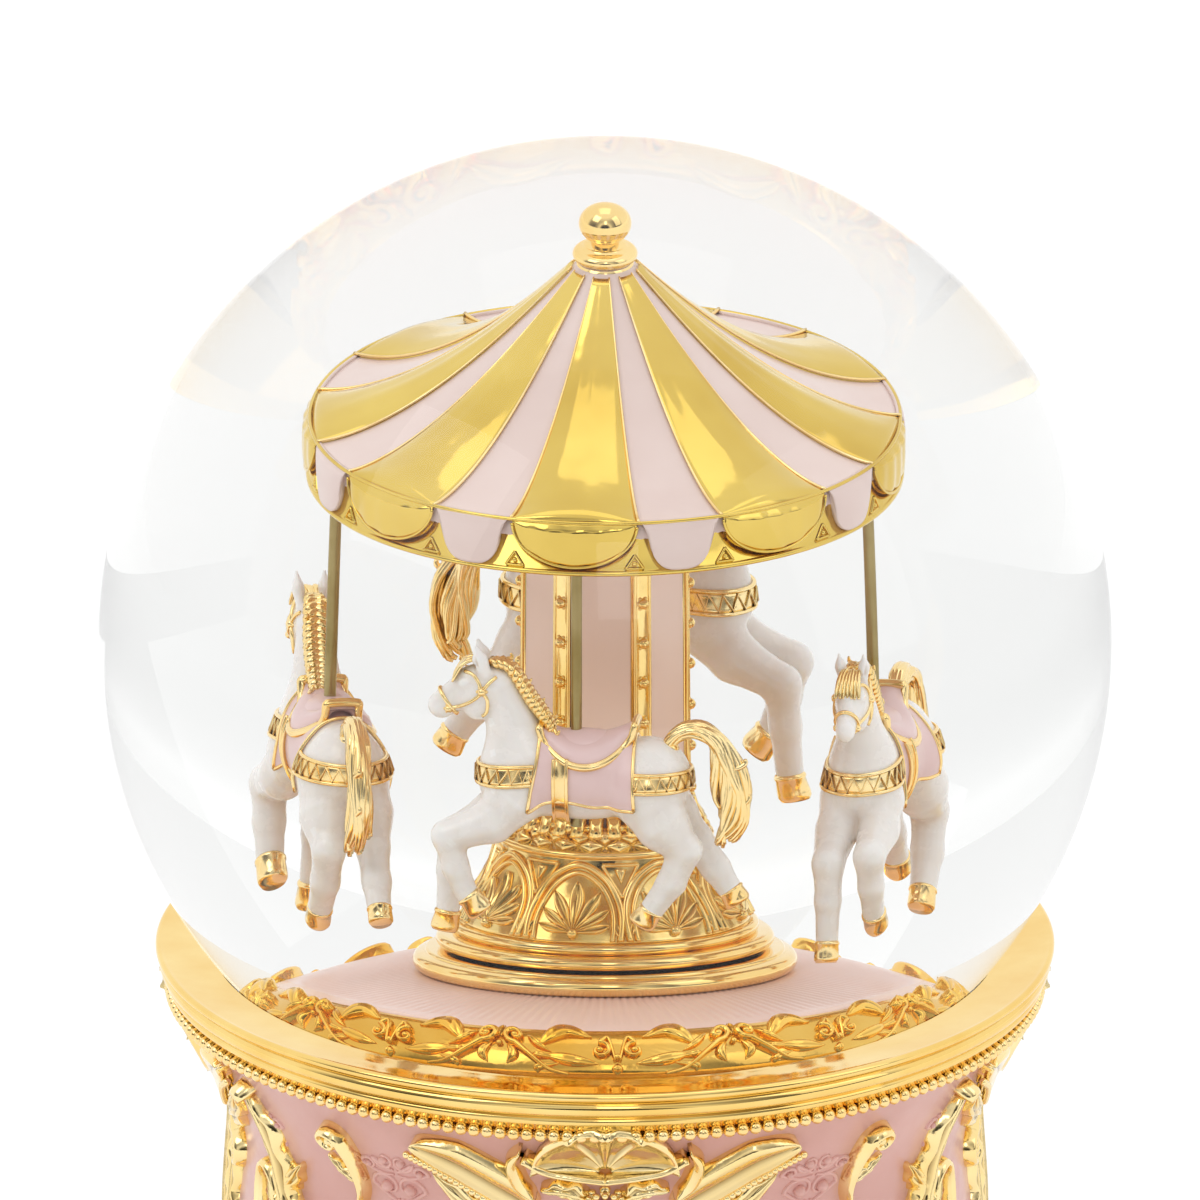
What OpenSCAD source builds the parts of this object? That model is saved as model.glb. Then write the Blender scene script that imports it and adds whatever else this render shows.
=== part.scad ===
// Carousel music box: a water globe with a turning carousel on a waisted base.
// Millimetres, +Z up, origin at the centre of the plane that the box stands on.
// At rest the front horse faces -X and the viewer stands on the -Y side.

/* [Globe] */
// Outer diameter of the glass globe
globe_d = 100; // [98:1:102]
// Wall thickness of the globe
globe_wall = 2.2; // [1.8:0.1:2.6]
// Height of the globe's centre above the table
globe_h = 100; // [99:0.5:101]

/* [Base] */
// Outer diameter of the gold foot
foot_d = 108; // [106:1:112]
// Outer diameter of the dish that carries the globe
dish_d = 90.4; // [90:0.2:92]
// Diameter of the pink body at its waist
waist_d = 73.6; // [73:0.2:76]
// Height of the waist
waist_h = 50; // [48:1:52]
// Wall thickness of the pink body
body_wall = 2.5; // [2:0.1:3]
// How far the crests and sprays stand out from the body
relief = 2.4; // [1.5:0.1:3]

/* [Carousel] */
// Angle of the front horse's pole from the front of the box
rest_turn = -6.5; // [-10:0.5:10]
// Distance of the poles from the carousel's axis
pole_orbit = 20.3; // [20:0.1:20.8]
// Pole diameter
pole_d = 0.9; // [0.8:0.1:1.2]
// Number of horses
horse_count = 4; // [4:1:4]
// Diameter over the canopy's valance
canopy_d = 45.4; // [45:0.1:46]
// Depth of the valance
valance_depth = 4.6; // [4:0.1:5]
// Number of gold panels on the canopy
panel_count = 8; // [6:2:10]
// Width of the column over its corners
column_d = 13; // [12:0.5:14]

/* [Movement] */
// Notes on the comb
notes = 18; // [12:1:18]
// Pins per note on the cylinder
pins_per_note = 3; // [2:1:4]
// Teeth on the great wheel's face
crown_teeth = 36; // [36:1:36]
// Teeth on the cylinder's pinion
pinion_teeth = 12; // [12:1:12]
// Teeth on the cylinder's large gear
cylinder_gear_teeth = 42; // [42:1:42]
// Teeth on the governor's pinion
governor_pinion_teeth = 14; // [14:1:14]
// Teeth on the governor's worm wheel
worm_wheel_teeth = 14; // [14:1:14]
// Turns of the mainspring
spring_turns = 4; // [3:1:5]

/* [Fits] */
// Radial clearance of a shaft in its bearing
running_gap = 0.05; // [0.03:0.01:0.08]

/* [Hidden] */
$fn = 64;
eps = 0.01;
hull_fn = 16;

// Globe, its neck and its opening
globe_r = globe_d / 2;
globe_in_r = globe_r - globe_wall;
opening_h = 63;
neck_in_r = 30.2;
neck_out_r = 33.2;
neck_bottom_h = 57;

// Plug and the magnet coupling through its membrane
plug_bottom_h = 55;
plug_top_h = 66;
membrane_low_h = 62.5;
membrane_high_h = 64.5;
magnet_pocket_r = 14.5;
carrier_r = 12.5;
magnet_orbit = 8.5;
magnet_r = 2.6;
magnet_count = 4;
magnet_air = 0.5;

// Base heights and radii
foot_top_h = 9.4;
foot_low_h = 1;
body_foot_r = 46.6;
body_rim_r = 43;
body_rim_h = 65.8;
cover_low_h = 8;
cover_high_h = 10.5;
ledge_high_h = 13.8;
ledge_in_r = 38.5;
relief_gap = 0.08;
lip_h = 70;
seat_r = sqrt(pow(globe_r, 2) - pow(globe_h - lip_h, 2));

// Floor inside the globe
floor_edge_r = 23.5;
floor_edge_h = globe_h - 26.4;
wreath_r = 26.8;
wreath_low_h = globe_h - 30.6;

// Carousel heights
plinth_low_h = globe_h - 24.7;
plinth_high_h = globe_h - 23.05;
turntable_low_h = globe_h - 22.85;
drum_low_h = globe_h - 20.9;
drum_low_r = 10.56;
cap_rim_h = globe_h - 14.8;
cap_rim_r = 7.67;
column_low_h = globe_h - 13.4;
strip_orbit = column_d / 2 - 0.55;
// How far each horse stands above the first, and how far it is turned on its pole
horse_lift = [0, -3.7, 2.3, -3.7];
horse_yaw = [0, 0, 0, 12];
strip_r = 0.6;
valance_low_h = globe_h + 12.5;
eave_h = valance_low_h + valance_depth;
roof_top_h = globe_h + 32;
canopy_r = canopy_d / 2;
roof_wall = 0.8;
ceiling_high_h = eave_h - roof_wall - 0.05;
ceiling_t = 0.8;
roof_neck_r = 2.08;
roof_hollow = 1.7;
roof_steps = 14;
panel_angle = 27;
spindle_r = 2.6;
pin_r = 0.95;
pin_top_h = 79;

// Movement
arbor_r = 1.5;
plate_low_h = 14;
plate_high_h = 16.5;
barrel_high_h = 26;
barrel_r = 10.5;
crown_pitch_r = 10.5;
crown_low_h = 26.4;
crown_face_h = 27.4;
pinion_pitch_r = crown_pitch_r * pinion_teeth / crown_teeth;
mesh_h = crown_face_h + 0.65;
cyl_axis_h = mesh_h + pinion_pitch_r;
cyl_r = 6.5;
cyl_x0 = 13.6;
note_pitch = 0.83;
cyl_len = notes * note_pitch + 0.5;
pin_reach = 0.4;
gear_module = 0.4;
cyl_gear_r = gear_module * cylinder_gear_teeth / 2;
gov_pinion_r = gear_module * governor_pinion_teeth / 2;
gov_tilt = 15;
gov_distance = cyl_gear_r + gov_pinion_r + 0.1;
gov_y = gov_distance * cos(gov_tilt);
gov_h = cyl_axis_h - gov_distance * sin(gov_tilt);
worm_module = 0.5;
worm_wheel_r = worm_module * worm_wheel_teeth / 2;
worm_pitch = PI * worm_module;
worm_x = 22;
worm_y = gov_y + worm_wheel_r + 1.3;
worm_out_r = 1.6;
worm_turns = 3;
worm_low_h = gov_h - worm_turns * worm_pitch / 2;
shaft_r = 0.9;
gear_x = cyl_x0 + cyl_len + 0.6;
gear_w = 1;
bearing_a_x = 12.5;
bearing_b_x = gear_x + gear_w + 0.6;
bearing_w = 0.7;
comb_tip_y = -(cyl_r + pin_reach + 0.2);
tooth_len = 8;
comb_root_y = comb_tip_y - tooth_len;
comb_back_y = comb_root_y - 5.8;
comb_t = 0.8;

// Radius of the pink body at height h
function body_r(h) = h > waist_h
    ? waist_d / 2 + (body_rim_r - waist_d / 2) * pow((h - waist_h) / (body_rim_h - waist_h), 1.5)
    : waist_d / 2 + (body_foot_r - waist_d / 2) * pow((waist_h - h) / (waist_h - foot_top_h), 1.6);

// Points of the body's outline from height a to height b, moved out by off
function body_line(a, b, off, n = 16) =
    [for (i = [0 : n]) let (h = a + (b - a) * i / n) [body_r(h) + off, h]];

// The tent roof's hollow outline: t runs from 0 at the eave to 1 at the neck
function roof_r(t) = canopy_r - (canopy_r - roof_neck_r) * t;
function roof_h(t) = eave_h + (roof_top_h - eave_h) * pow(t, roof_hollow);

// Its first points up to the given step of roof_steps, moved out by off and up by lift
function roof_line(off, last, lift = 0) =
    [for (i = [0 : last]) let (t = i / roof_steps) [roof_r(t) + off, roof_h(t) + lift]];

// The same points from the neck down
function reversed(points) = [for (i = [len(points) - 1 : -1 : 0]) points[i]];

// A flat closed ring from the listed outline
module turned(points) {
    rotate_extrude($fn = 96) polygon(points);
}

// A turned band that fills only the given angle, centred on +X
module turned_sector(points, angle) {
    rotate([0, 0, -angle / 2]) rotate_extrude(angle = angle, $fn = 96) polygon(points);
}

// Places children on count equal stations around the axis
module around(count, radius = 0, phase = 0) {
    for (i = [0 : count - 1])
        rotate([0, 0, phase + i * 360 / count]) translate([radius, 0, 0]) children();
}

// A pointed leaf in the plane, made of two arcs
module leaf(length, width) {
    leaf_arc_r = (pow(length / 2, 2) + pow(width / 2, 2)) / width;
    intersection() {
        translate([0, leaf_arc_r - width / 2]) circle(leaf_arc_r);
        translate([0, width / 2 - leaf_arc_r]) circle(leaf_arc_r);
    }
}

// Turn of a gear with n2 teeth that meshes with one of n1 teeth lying at the given angle from it
function mesh_turn(line_angle, n1, n2) = line_angle * (1 + n1 / n2) + 180 + 180 / n2;

// A spur gear along Z with straight tapered teeth
module spur_gear(teeth, pitch_r, module_mm, width) {
    root_r = pitch_r - 1.15 * module_mm;
    tip_r = pitch_r + 0.85 * module_mm;
    root_half = 0.48 * module_mm * PI / 2;
    tip_half = 0.24 * module_mm * PI / 2;
    linear_extrude(width) union() {
        circle(root_r + 0.05);
        for (i = [0 : teeth - 1]) rotate([0, 0, i * 360 / teeth])
            polygon([[root_r - 0.1, -root_half * 1.15], [pitch_r, -root_half * 0.85],
                     [tip_r, -tip_half], [tip_r, tip_half],
                     [pitch_r, root_half * 0.85], [root_r - 0.1, root_half * 1.15]]);
    }
}

// A slotted screw: the head's underside at z = 0, the shank below it
module screw(shank_r, shank_len, head_r, head_h) {
    translate([0, 0, -shank_len]) cylinder(r = shank_r, h = shank_len);
    difference() {
        cylinder(r = head_r, h = head_h);
        translate([-head_r - 1, -0.25, head_h * 0.5]) cube([2 * head_r + 2, 0.5, head_h]);
    }
}

// ---------- Base ----------

module base_housing() {
    color("LightPink") difference() {
        turned(concat(
            body_line(foot_top_h, body_rim_h, 0, 40),
            [[body_rim_r - body_wall, body_rim_h]],
            body_line(body_rim_h - 0.2, ledge_high_h, -body_wall),
            [[ledge_in_r, ledge_high_h], [ledge_in_r, cover_high_h],
             [43.6, cover_high_h], [43.6, foot_top_h]]));
        around(3, 41, 30) translate([0, 0, foot_top_h]) cylinder(r = 1.1, h = 3.9);
    }
}

module foot_ring() {
    color("Gold") turned([
        [44, foot_low_h], [foot_d / 2 - 1.5, foot_low_h], [foot_d / 2 - 0.4, 1.8],
        [foot_d / 2, 3], [foot_d / 2 - 0.4, 4.2], [foot_d / 2 - 1.6, 4.9],
        [foot_d / 2 - 3.4, 5.4], [foot_d / 2 - 4.6, 6.6], [foot_d / 2 - 5.2, 7.2],
        [foot_d / 2 - 5.4, 8.4], [foot_d / 2 - 6.6, foot_top_h], [44, foot_top_h]]);
}

module foot_pads() {
    color("DimGray") around(4, 48, 45) cylinder(r = 3, h = foot_low_h);
}

module bead_ring() {
    color("Gold") rotate_extrude($fn = 96) translate([body_rim_r + 0.7, body_rim_h - 0.65])
        circle(0.62, $fn = 24);
}

module globe_dish() {
    seat_low_r = 33.9;
    seat_n = 6;
    seat_line = [for (i = [0 : seat_n]) let (r = seat_low_r + (seat_r - seat_low_r) * i / seat_n)
        [r, globe_h - sqrt(pow(globe_r + 0.05, 2) - pow(r, 2)) - 0.02]];
    color("Gold") turned(concat(
        [[seat_low_r, 60.8]], seat_line,
        [[seat_r + 1.3, lip_h - 0.55], [dish_d / 2 - 1.6, lip_h - 0.3],
         [dish_d / 2 - 0.5, lip_h], [dish_d / 2, lip_h - 0.35], [dish_d / 2 - 0.1, lip_h - 0.9],
         [dish_d / 2 - 0.7, lip_h - 1.2], [dish_d / 2 - 0.5, lip_h - 2.1],
         [dish_d / 2 - 1.1, lip_h - 2.6], [dish_d / 2 - 0.9, lip_h - 3.3],
         [dish_d / 2 - 1.4, body_rim_h + 0.02], [40.2, body_rim_h + 0.02],
         [36.4, 62.4], [36.4, 60.8]]));
}

// One crest seen from the front: a fan, two wings, a mask of scrolls and a pendant
module crest_outline() {
    translate([0, 59]) circle(5.2);
    for (side = [-1, 1]) scale([side, 1]) {
        translate([10, 56.5]) rotate([0, 0, 18]) leaf(19, 5);
        translate([7, 52]) rotate([0, 0, -12]) leaf(14, 4.4);
        translate([4.5, 47]) circle(2.4);
    }
    translate([0, 50]) rotate([0, 0, 90]) leaf(22, 8);
}

// One spray seen from the front: an acanthus leaf between two scrolled stems
module spray_outline() {
    translate([0, 34]) rotate([0, 0, 90]) leaf(34, 9);
    for (side = [-1, 1]) scale([side, 1]) {
        translate([5.2, 56.5]) circle(1.7);
        translate([3.4, 50]) rotate([0, 0, 76]) leaf(15, 3.2);
        translate([5.4, 27]) rotate([0, 0, 58]) leaf(15, 4.6);
    }
}

// A band of relief on the body, cut to the outline that the child gives
module body_relief(low_h, high_h, phase) {
    for (i = [0 : 3]) rotate([0, 0, phase + 90 * i]) intersection() {
        turned(concat(body_line(low_h, high_h, relief), body_line(high_h, low_h, relief_gap)));
        translate([0, -20, 0]) rotate([90, 0, 0]) linear_extrude(40) children();
    }
}

module crest_ornaments() {
    color("Goldenrod") body_relief(38, 64, 0) crest_outline();
}

module leaf_sprays() {
    color("Goldenrod") body_relief(15, 58.5, 45) spray_outline();
}

module bottom_cover() {
    color("DarkSlateGray") difference() {
        union() {
            translate([0, 0, cover_low_h]) cylinder(r = 43.3, h = cover_high_h - cover_low_h);
            around(3, 16, 90) translate([0, 0, cover_high_h - eps])
                cylinder(r = 3, h = plate_low_h - cover_high_h + eps);
        }
        translate([0, 0, cover_low_h - 1]) cylinder(r = 4.2, h = 6);
        around(3, 16, 90) translate([0, 0, cover_low_h - 1]) cylinder(r = 1.2, h = 8);
        around(3, 41, 30) translate([0, 0, cover_low_h - 1]) cylinder(r = 1.2, h = 6);
    }
}

module cover_screws() {
    color("Silver") around(3, 41, 30) translate([0, 0, cover_low_h]) rotate([180, 0, 0])
        screw(1.1, 5, 2, 1.2);
}

module movement_screws() {
    color("Silver") around(3, 16, 90) translate([0, 0, cover_low_h]) rotate([180, 0, 0])
        screw(1.1, plate_high_h - cover_low_h - 0.5, 2, 1.2);
}

// ---------- Globe ----------

module glass_globe() {
    color("LightCyan", 0.35) difference() {
        union() {
            intersection() {
                translate([0, 0, globe_h]) sphere(globe_r, $fn = 96);
                translate([-60, -60, opening_h]) cube([120, 120, 100]);
            }
            translate([0, 0, neck_bottom_h])
                cylinder(r = neck_out_r, h = opening_h - neck_bottom_h + 0.5);
        }
        intersection() {
            translate([0, 0, globe_h]) sphere(globe_in_r, $fn = 96);
            translate([-60, -60, opening_h]) cube([120, 120, 100]);
        }
        translate([0, 0, neck_bottom_h - 1]) cylinder(r = neck_in_r, h = opening_h + 2 - neck_bottom_h);
    }
}

module globe_plug() {
    color("Gray") turned([
        [0, membrane_low_h], [magnet_pocket_r, membrane_low_h],
        [magnet_pocket_r, plug_bottom_h], [32.8, plug_bottom_h], [32.8, neck_bottom_h],
        [neck_in_r, neck_bottom_h], [neck_in_r, plug_top_h],
        [magnet_pocket_r, plug_top_h], [magnet_pocket_r, membrane_high_h],
        [0, membrane_high_h]]);
}

module globe_gasket() {
    color("Black") turned([
        [33.4, neck_bottom_h + 0.4], [34.3, neck_bottom_h + 0.4],
        [34.3, 60.7], [33.4, 60.7]]);
}

module inner_floor() {
    color("LightPink") turned([
        [3.4, floor_edge_h - 0.2], [3.4, plinth_low_h],
        [14, plinth_low_h], [floor_edge_r, floor_edge_h], [floor_edge_r, wreath_low_h - 1],
        [22.5, plug_top_h], [21, plug_top_h], [21, floor_edge_h - 2.4],
        [13.5, floor_edge_h - 0.9], [3.4, floor_edge_h - 0.9]]);
}

module floor_wreath() {
    color("Gold") turned([
        [floor_edge_r, wreath_low_h - 0.8], [floor_edge_r, floor_edge_h - 0.1],
        [floor_edge_r + 0.5, floor_edge_h + 0.1], [floor_edge_r + 1.6, floor_edge_h - 0.7],
        [floor_edge_r + 2.6, floor_edge_h - 2.0], [wreath_r, wreath_low_h + 0.6],
        [wreath_r - 0.3, wreath_low_h - 0.8]]);
}

module plinth_ring() {
    mid_h = (plinth_low_h + plinth_high_h) / 2;
    color("Gold") turned([
        [3.4, plinth_low_h], [13.5, plinth_low_h], [13.84, plinth_low_h + 0.35],
        [13.84, mid_h], [13.5, mid_h + 0.4], [12.9, plinth_high_h], [3.4, plinth_high_h]]);
}

module pivot_pin() {
    color("Silver") {
        translate([0, 0, membrane_high_h]) cylinder(r = 3, h = 0.8);
        translate([0, 0, membrane_high_h]) cylinder(r = pin_r, h = pin_top_h - membrane_high_h);
    }
}

// ---------- Carousel ----------

module spindle() {
    color("Goldenrod") difference() {
        translate([0, 0, 67]) cylinder(r = spindle_r, h = 16);
        translate([0, 0, 66]) cylinder(r = pin_r + running_gap, h = pin_top_h + 0.1 - 66);
        translate([0, 0, pin_top_h + 0.1 - eps]) cylinder(r = 1.8, h = 1);
    }
}

module pivot_jewel() {
    color("Crimson") translate([0, 0, pin_top_h + 0.1]) cylinder(r = 1.8, h = 0.9);
}

module follower_carrier() {
    color("SlateGray") difference() {
        translate([0, 0, 67]) cylinder(r = carrier_r, h = 2);
        translate([0, 0, 66]) cylinder(r = spindle_r, h = 4);
    }
}

module follower_magnets() {
    low_h = membrane_high_h + magnet_air + 0.5;
    color("Silver") around(magnet_count, magnet_orbit) translate([0, 0, low_h])
        cylinder(r = magnet_r, h = 67 - low_h);
}

module turntable() {
    step_h = turntable_low_h + 1.05;
    color("Gold") turned([
        [spindle_r, turntable_low_h], [11.9, turntable_low_h], [12.2, turntable_low_h + 0.3],
        [12.2, step_h - 0.3], [11.9, step_h], [10.9, step_h], [11.1, step_h + 0.3],
        [11.1, drum_low_h - 0.3], [10.8, drum_low_h], [spindle_r, drum_low_h]]);
}

// The drum's outline moved out by off
function drum_line(off) = [
    [drum_low_r - 0.4 + off, drum_low_h], [drum_low_r - 1.0 + off, drum_low_h + 1.4],
    [cap_rim_r + 0.2 + off, cap_rim_h - 1.4], [cap_rim_r + off, cap_rim_h]];

// An arch seen from outside: two legs and a round head
module arch_outline() {
    arch_w = 6.2;
    rib = 0.7;
    head_h = drum_low_h + 2.6;
    difference() {
        union() {
            translate([0, head_h]) circle(arch_w / 2);
            translate([-arch_w / 2, drum_low_h]) square([arch_w, head_h - drum_low_h]);
        }
        translate([0, head_h]) circle(arch_w / 2 - rib);
        translate([rib - arch_w / 2, drum_low_h - 1]) square([arch_w - 2 * rib, head_h + 1 - drum_low_h]);
    }
}

module pedestal_drum() {
    color("Gold") union() {
        turned(concat([[spindle_r, drum_low_h]], drum_line(0), [[spindle_r, cap_rim_h]]));
        around(8, 0, rest_turn) intersection() {
            turned(concat([[6, drum_low_h]], drum_line(0.35), [[6, cap_rim_h]]));
            rotate([90, 0, 0]) linear_extrude(15) arch_outline();
        }
    }
}

module pedestal_cap() {
    color("Gold") turned([
        [0, cap_rim_h + eps], [cap_rim_r, cap_rim_h + eps], [cap_rim_r + 0.2, cap_rim_h + 0.3],
        [cap_rim_r - 0.1, cap_rim_h + 0.6], [column_d / 2 + 0.1, column_low_h],
        [0, column_low_h]]);
}

module column() {
    color("Gold") difference() {
        translate([0, 0, column_low_h]) rotate([0, 0, rest_turn + 4])
            cylinder(d = column_d - 0.7, h = eave_h - column_low_h, $fn = 6);
        around(6, strip_orbit, rest_turn + 4)
            translate([0, 0, column_low_h - 1]) cylinder(r = strip_r, h = eave_h - column_low_h + 2);
    }
}

module column_panels() {
    flat = (column_d - 0.7) / 2 * cos(30);
    color("MistyRose") around(6, flat, rest_turn + 34)
        translate([0.01, -2.2, column_low_h + 1.2]) cube([0.25, 4.4, valance_low_h - column_low_h - 0.4]);
}

module column_strips() {
    color("Gold") around(6, strip_orbit, rest_turn + 4)
        translate([0, 0, column_low_h]) cylinder(r = strip_r, h = eave_h - column_low_h - 0.9);
}

module canopy_roof() {
    color("MistyRose") turned(concat(
        [[canopy_r - 0.35 - roof_wall, valance_low_h + 0.6], [canopy_r - 0.35, valance_low_h + 0.6]],
        roof_line(-0.35, roof_steps), [[0.6, roof_top_h], [0.6, roof_top_h - 1.9]],
        reversed(roof_line(-0.35 - roof_wall, roof_steps - 1, -roof_wall))));
}

module canopy_panels() {
    color("Gold") around(panel_count, 0, rest_turn - 90) turned_sector(concat(
        roof_line(-0.33, roof_steps - 1),
        reversed(roof_line(-0.02, roof_steps - 1, 0.2))), panel_angle);
}

module canopy_valance() {
    color("Gold") union() {
        turned([
            [canopy_r - 0.33, valance_low_h], [canopy_r - 0.1, valance_low_h],
            [canopy_r - 0.1, eave_h - 0.4], [canopy_r - 0.33, eave_h - 0.4]]);
        around(panel_count, 0, rest_turn - 90) turned_sector([
            [canopy_r - 0.2, valance_low_h + 1.4], [canopy_r, valance_low_h + 1.4],
            [canopy_r, eave_h - 0.4], [canopy_r - 0.2, eave_h - 0.4]], panel_angle);
    }
}

module canopy_ceiling() {
    color("MistyRose") difference() {
        translate([0, 0, ceiling_high_h - ceiling_t]) cylinder(r = canopy_r - 1.4, h = ceiling_t, $fn = 96);
        around(horse_count, pole_orbit, rest_turn - 90)
            translate([0, 0, eave_h - 2]) cylinder(d = pole_d, h = 3);
        translate([0, 0, eave_h - 2]) cylinder(r = column_d / 2 + 0.2, h = 3);
    }
}

module canopy_finial() {
    ball_h = globe_h + 35.8;
    ball_r = 2.15;
    collar_h = globe_h + 32.9;
    collar_out_r = 2.56;
    ball_line = [for (a = [-62 : 19 : 90]) [ball_r * cos(a), ball_h + ball_r * sin(a)]];
    color("Gold") turned(concat(
        [[0, roof_top_h - 0.6], [0.58, roof_top_h - 0.6], [0.58, roof_top_h + eps],
         [2.2, roof_top_h + eps],
         [collar_out_r, collar_h - 0.35], [collar_out_r, collar_h + 0.2],
         [2.1, collar_h + 0.7], [1.3, collar_h + 0.95]], ball_line));
}

module pole(i) {
    foot_h = globe_h - 9.2 + horse_lift[i];
    color("DarkKhaki") rotate([0, 0, rest_turn - 90 + i * 360 / horse_count])
        translate([pole_orbit, 0, foot_h]) cylinder(d = pole_d, h = ceiling_high_h - foot_h);
}

// A rounded limb from p to q with the two end radii; x is ahead, y is up, z is sideways
module limb(p, q, rp, rq) {
    hull() {
        translate(p) sphere(rp, $fn = hull_fn);
        translate(q) sphere(rq, $fn = hull_fn);
    }
}

// A galloping horse: ahead is +x, up is +z, and its pole is the z axis at globe height
module horse_shape() {
    limb([4.0, 0, -5.4], [-5.0, 0, -5.3], 3.5, 3.5);
    limb([5.0, 0, -3.9], [7.0, 0, 1.8], 2.7, 1.6);
    limb([7.2, 0, 2.2], [10.9, 0, 0.4], 1.7, 1.05);
    for (side = [-1, 1]) {
        limb([7.2, side * 0.9, 3.4], [8.0, side * 1.0, 5.7], 0.7, 0.2);
        limb([5.8, side * 1.6, -8.0], [9.8, side * 1.6, side * 1.2 - 9.2], 1.7, 0.9);
        limb([9.8, side * 1.6, side * 1.2 - 9.2], [8.9, side * 1.7, side * 0.9 - 17.3], 0.9, 0.9);
        limb([-5.8, side * 1.6, -7.0], [-9.4, side * 1.6, side * 0.6 - 10.6], 2.3, 0.95);
        limb([-9.4, side * 1.6, side * 0.6 - 10.6], [-8.6 - side * 3.2, side * 1.7, side * 1.0 - 16.6], 0.95, 0.9);
    }
    limb([-8.0, 0, -2.6], [-11.6, 0, -1.9], 0.8, 1.2);
    limb([-11.6, 0, -1.9], [-12.4, 0, -8.8], 1.2, 0.9);
}

module horse(i) {
    color("White") rotate([0, 0, rest_turn - 90 + i * 360 / horse_count])
        translate([pole_orbit, 0, globe_h + horse_lift[i]]) rotate([0, 0, horse_yaw[i] - 90]) horse_shape();
}

// ---------- Movement ----------

module movement_bedplate() {
    block_y = comb_back_y + 0.1;
    color("Silver") difference() {
        union() {
            intersection() {
                translate([-21, -21, plate_low_h]) cube([55, 42, plate_high_h - plate_low_h]);
                translate([0, 0, plate_low_h]) cylinder(r = 37.5, h = 5);
            }
            translate([cyl_x0 - 0.6, block_y, plate_high_h - eps])
                cube([cyl_len + 0.8, 6, cyl_axis_h - comb_t / 2 - plate_high_h]);
        }
        translate([0, 0, plate_low_h - 1]) cylinder(r = arbor_r + running_gap, h = 6);
        around(3, 16, 90) translate([0, 0, plate_low_h - 1]) cylinder(r = 1.1, h = 6);
        comb_screw_places(cyl_axis_h - comb_t / 2 - 6) cylinder(r = 1, h = 8);
    }
}

module comb_screw_places(h) {
    for (k = [0.25, 0.75])
        translate([cyl_x0 + cyl_len * k, (comb_root_y + comb_back_y) / 2, h]) children();
}

module spring_barrel() {
    wall = 0.7;
    color("Silver") turned([
        [arbor_r + 0.5, plate_high_h], [barrel_r, plate_high_h], [barrel_r, barrel_high_h],
        [arbor_r + 0.5, barrel_high_h], [arbor_r + 0.5, barrel_high_h - wall],
        [barrel_r - wall, barrel_high_h - wall], [barrel_r - wall, plate_high_h + wall],
        [arbor_r + 0.5, plate_high_h + wall]]);
}

// Points along the mainspring's spiral, one side of the strip
function spiral(r0, r1, turns, off, n = 18) =
    [for (i = [0 : turns * n]) let (a = i * 360 / n, r = r0 + (r1 - r0) * i / (turns * n) + off)
        [r * cos(a), r * sin(a)]];

module mainspring() {
    side_a = spiral(3, 9.2, spring_turns, 0);
    side_b = spiral(3, 9.2, spring_turns, 0.35);
    color("SteelBlue") translate([0, 0, plate_high_h + 1]) linear_extrude(7.4)
        polygon(concat(side_a, [for (i = [len(side_b) - 1 : -1 : 0]) side_b[i]]));
}

module comb() {
    color("LightSteelBlue") difference() {
        translate([0, 0, cyl_axis_h - comb_t / 2]) linear_extrude(comb_t) {
            translate([cyl_x0 - 0.4, comb_back_y]) square([cyl_len + 0.4, comb_root_y - comb_back_y]);
            for (i = [0 : notes - 1])
                translate([cyl_x0 + 0.25 + i * note_pitch, comb_root_y - 0.5])
                    square([note_pitch - 0.25, tooth_len + 0.5]);
        }
        comb_screw_places(cyl_axis_h - 2) cylinder(r = 1.1, h = 4);
    }
}

module comb_screws() {
    color("Silver") comb_screw_places(cyl_axis_h + comb_t / 2) screw(1, 5.4, 1.9, 1.1);
}

// A standing bearing plate for the cylinder's shaft at position x
module shaft_bearing(x) {
    difference() {
        translate([x, -2.5, plate_high_h]) cube([bearing_w, 5, cyl_axis_h + 2 - plate_high_h]);
        translate([x - 1, 0, cyl_axis_h]) rotate([0, 90, 0]) cylinder(r = shaft_r + running_gap, h = 3);
    }
}

module cylinder_bearings() {
    color("Silver") {
        shaft_bearing(bearing_a_x);
        shaft_bearing(bearing_b_x);
    }
}

module governor_frame() {
    arm_h = worm_low_h + worm_turns * worm_pitch + 1.2;
    color("Silver") difference() {
        union() {
            for (x = [worm_x - 3.6, worm_x + 2.8])
                translate([x, gov_y - 2, plate_high_h]) cube([0.8, worm_y - gov_y + 4, arm_h - plate_high_h + 0.8]);
            translate([worm_x - 3.6, worm_y - 2, arm_h]) cube([7.2, 4, 0.8]);
            translate([worm_x - 3.6, worm_y - 2, plate_high_h]) cube([7.2, 4, 1.5]);
        }
        translate([worm_x - 5, gov_y, gov_h]) rotate([0, 90, 0]) cylinder(r = 0.5 + running_gap, h = 10);
        translate([worm_x, worm_y, plate_high_h + 0.5]) cylinder(r = 0.5 + running_gap, h = 30);
    }
}

module winding_key() {
    hub_r = 3;
    wing_len = 24;
    wing_t = 2.4;
    color("Gold") difference() {
        union() {
            translate([0, 0, 5]) cylinder(r = hub_r, h = 6.2);
            translate([0, wing_t / 2, 4.4]) rotate([90, 0, 0]) linear_extrude(wing_t) hull()
                for (side = [-1, 1]) translate([side * (wing_len / 2 - 3), 0]) circle(3);
        }
        translate([0, 0, 7.5]) cylinder(r = arbor_r, h = 5);
    }
}

module spring_arbor() {
    color("Silver") {
        translate([0, 0, 7.5]) cylinder(r = arbor_r, h = 51);
        translate([0, 0, plate_high_h + 1]) cylinder(r = 2.5, h = 7.4);
    }
}

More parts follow.
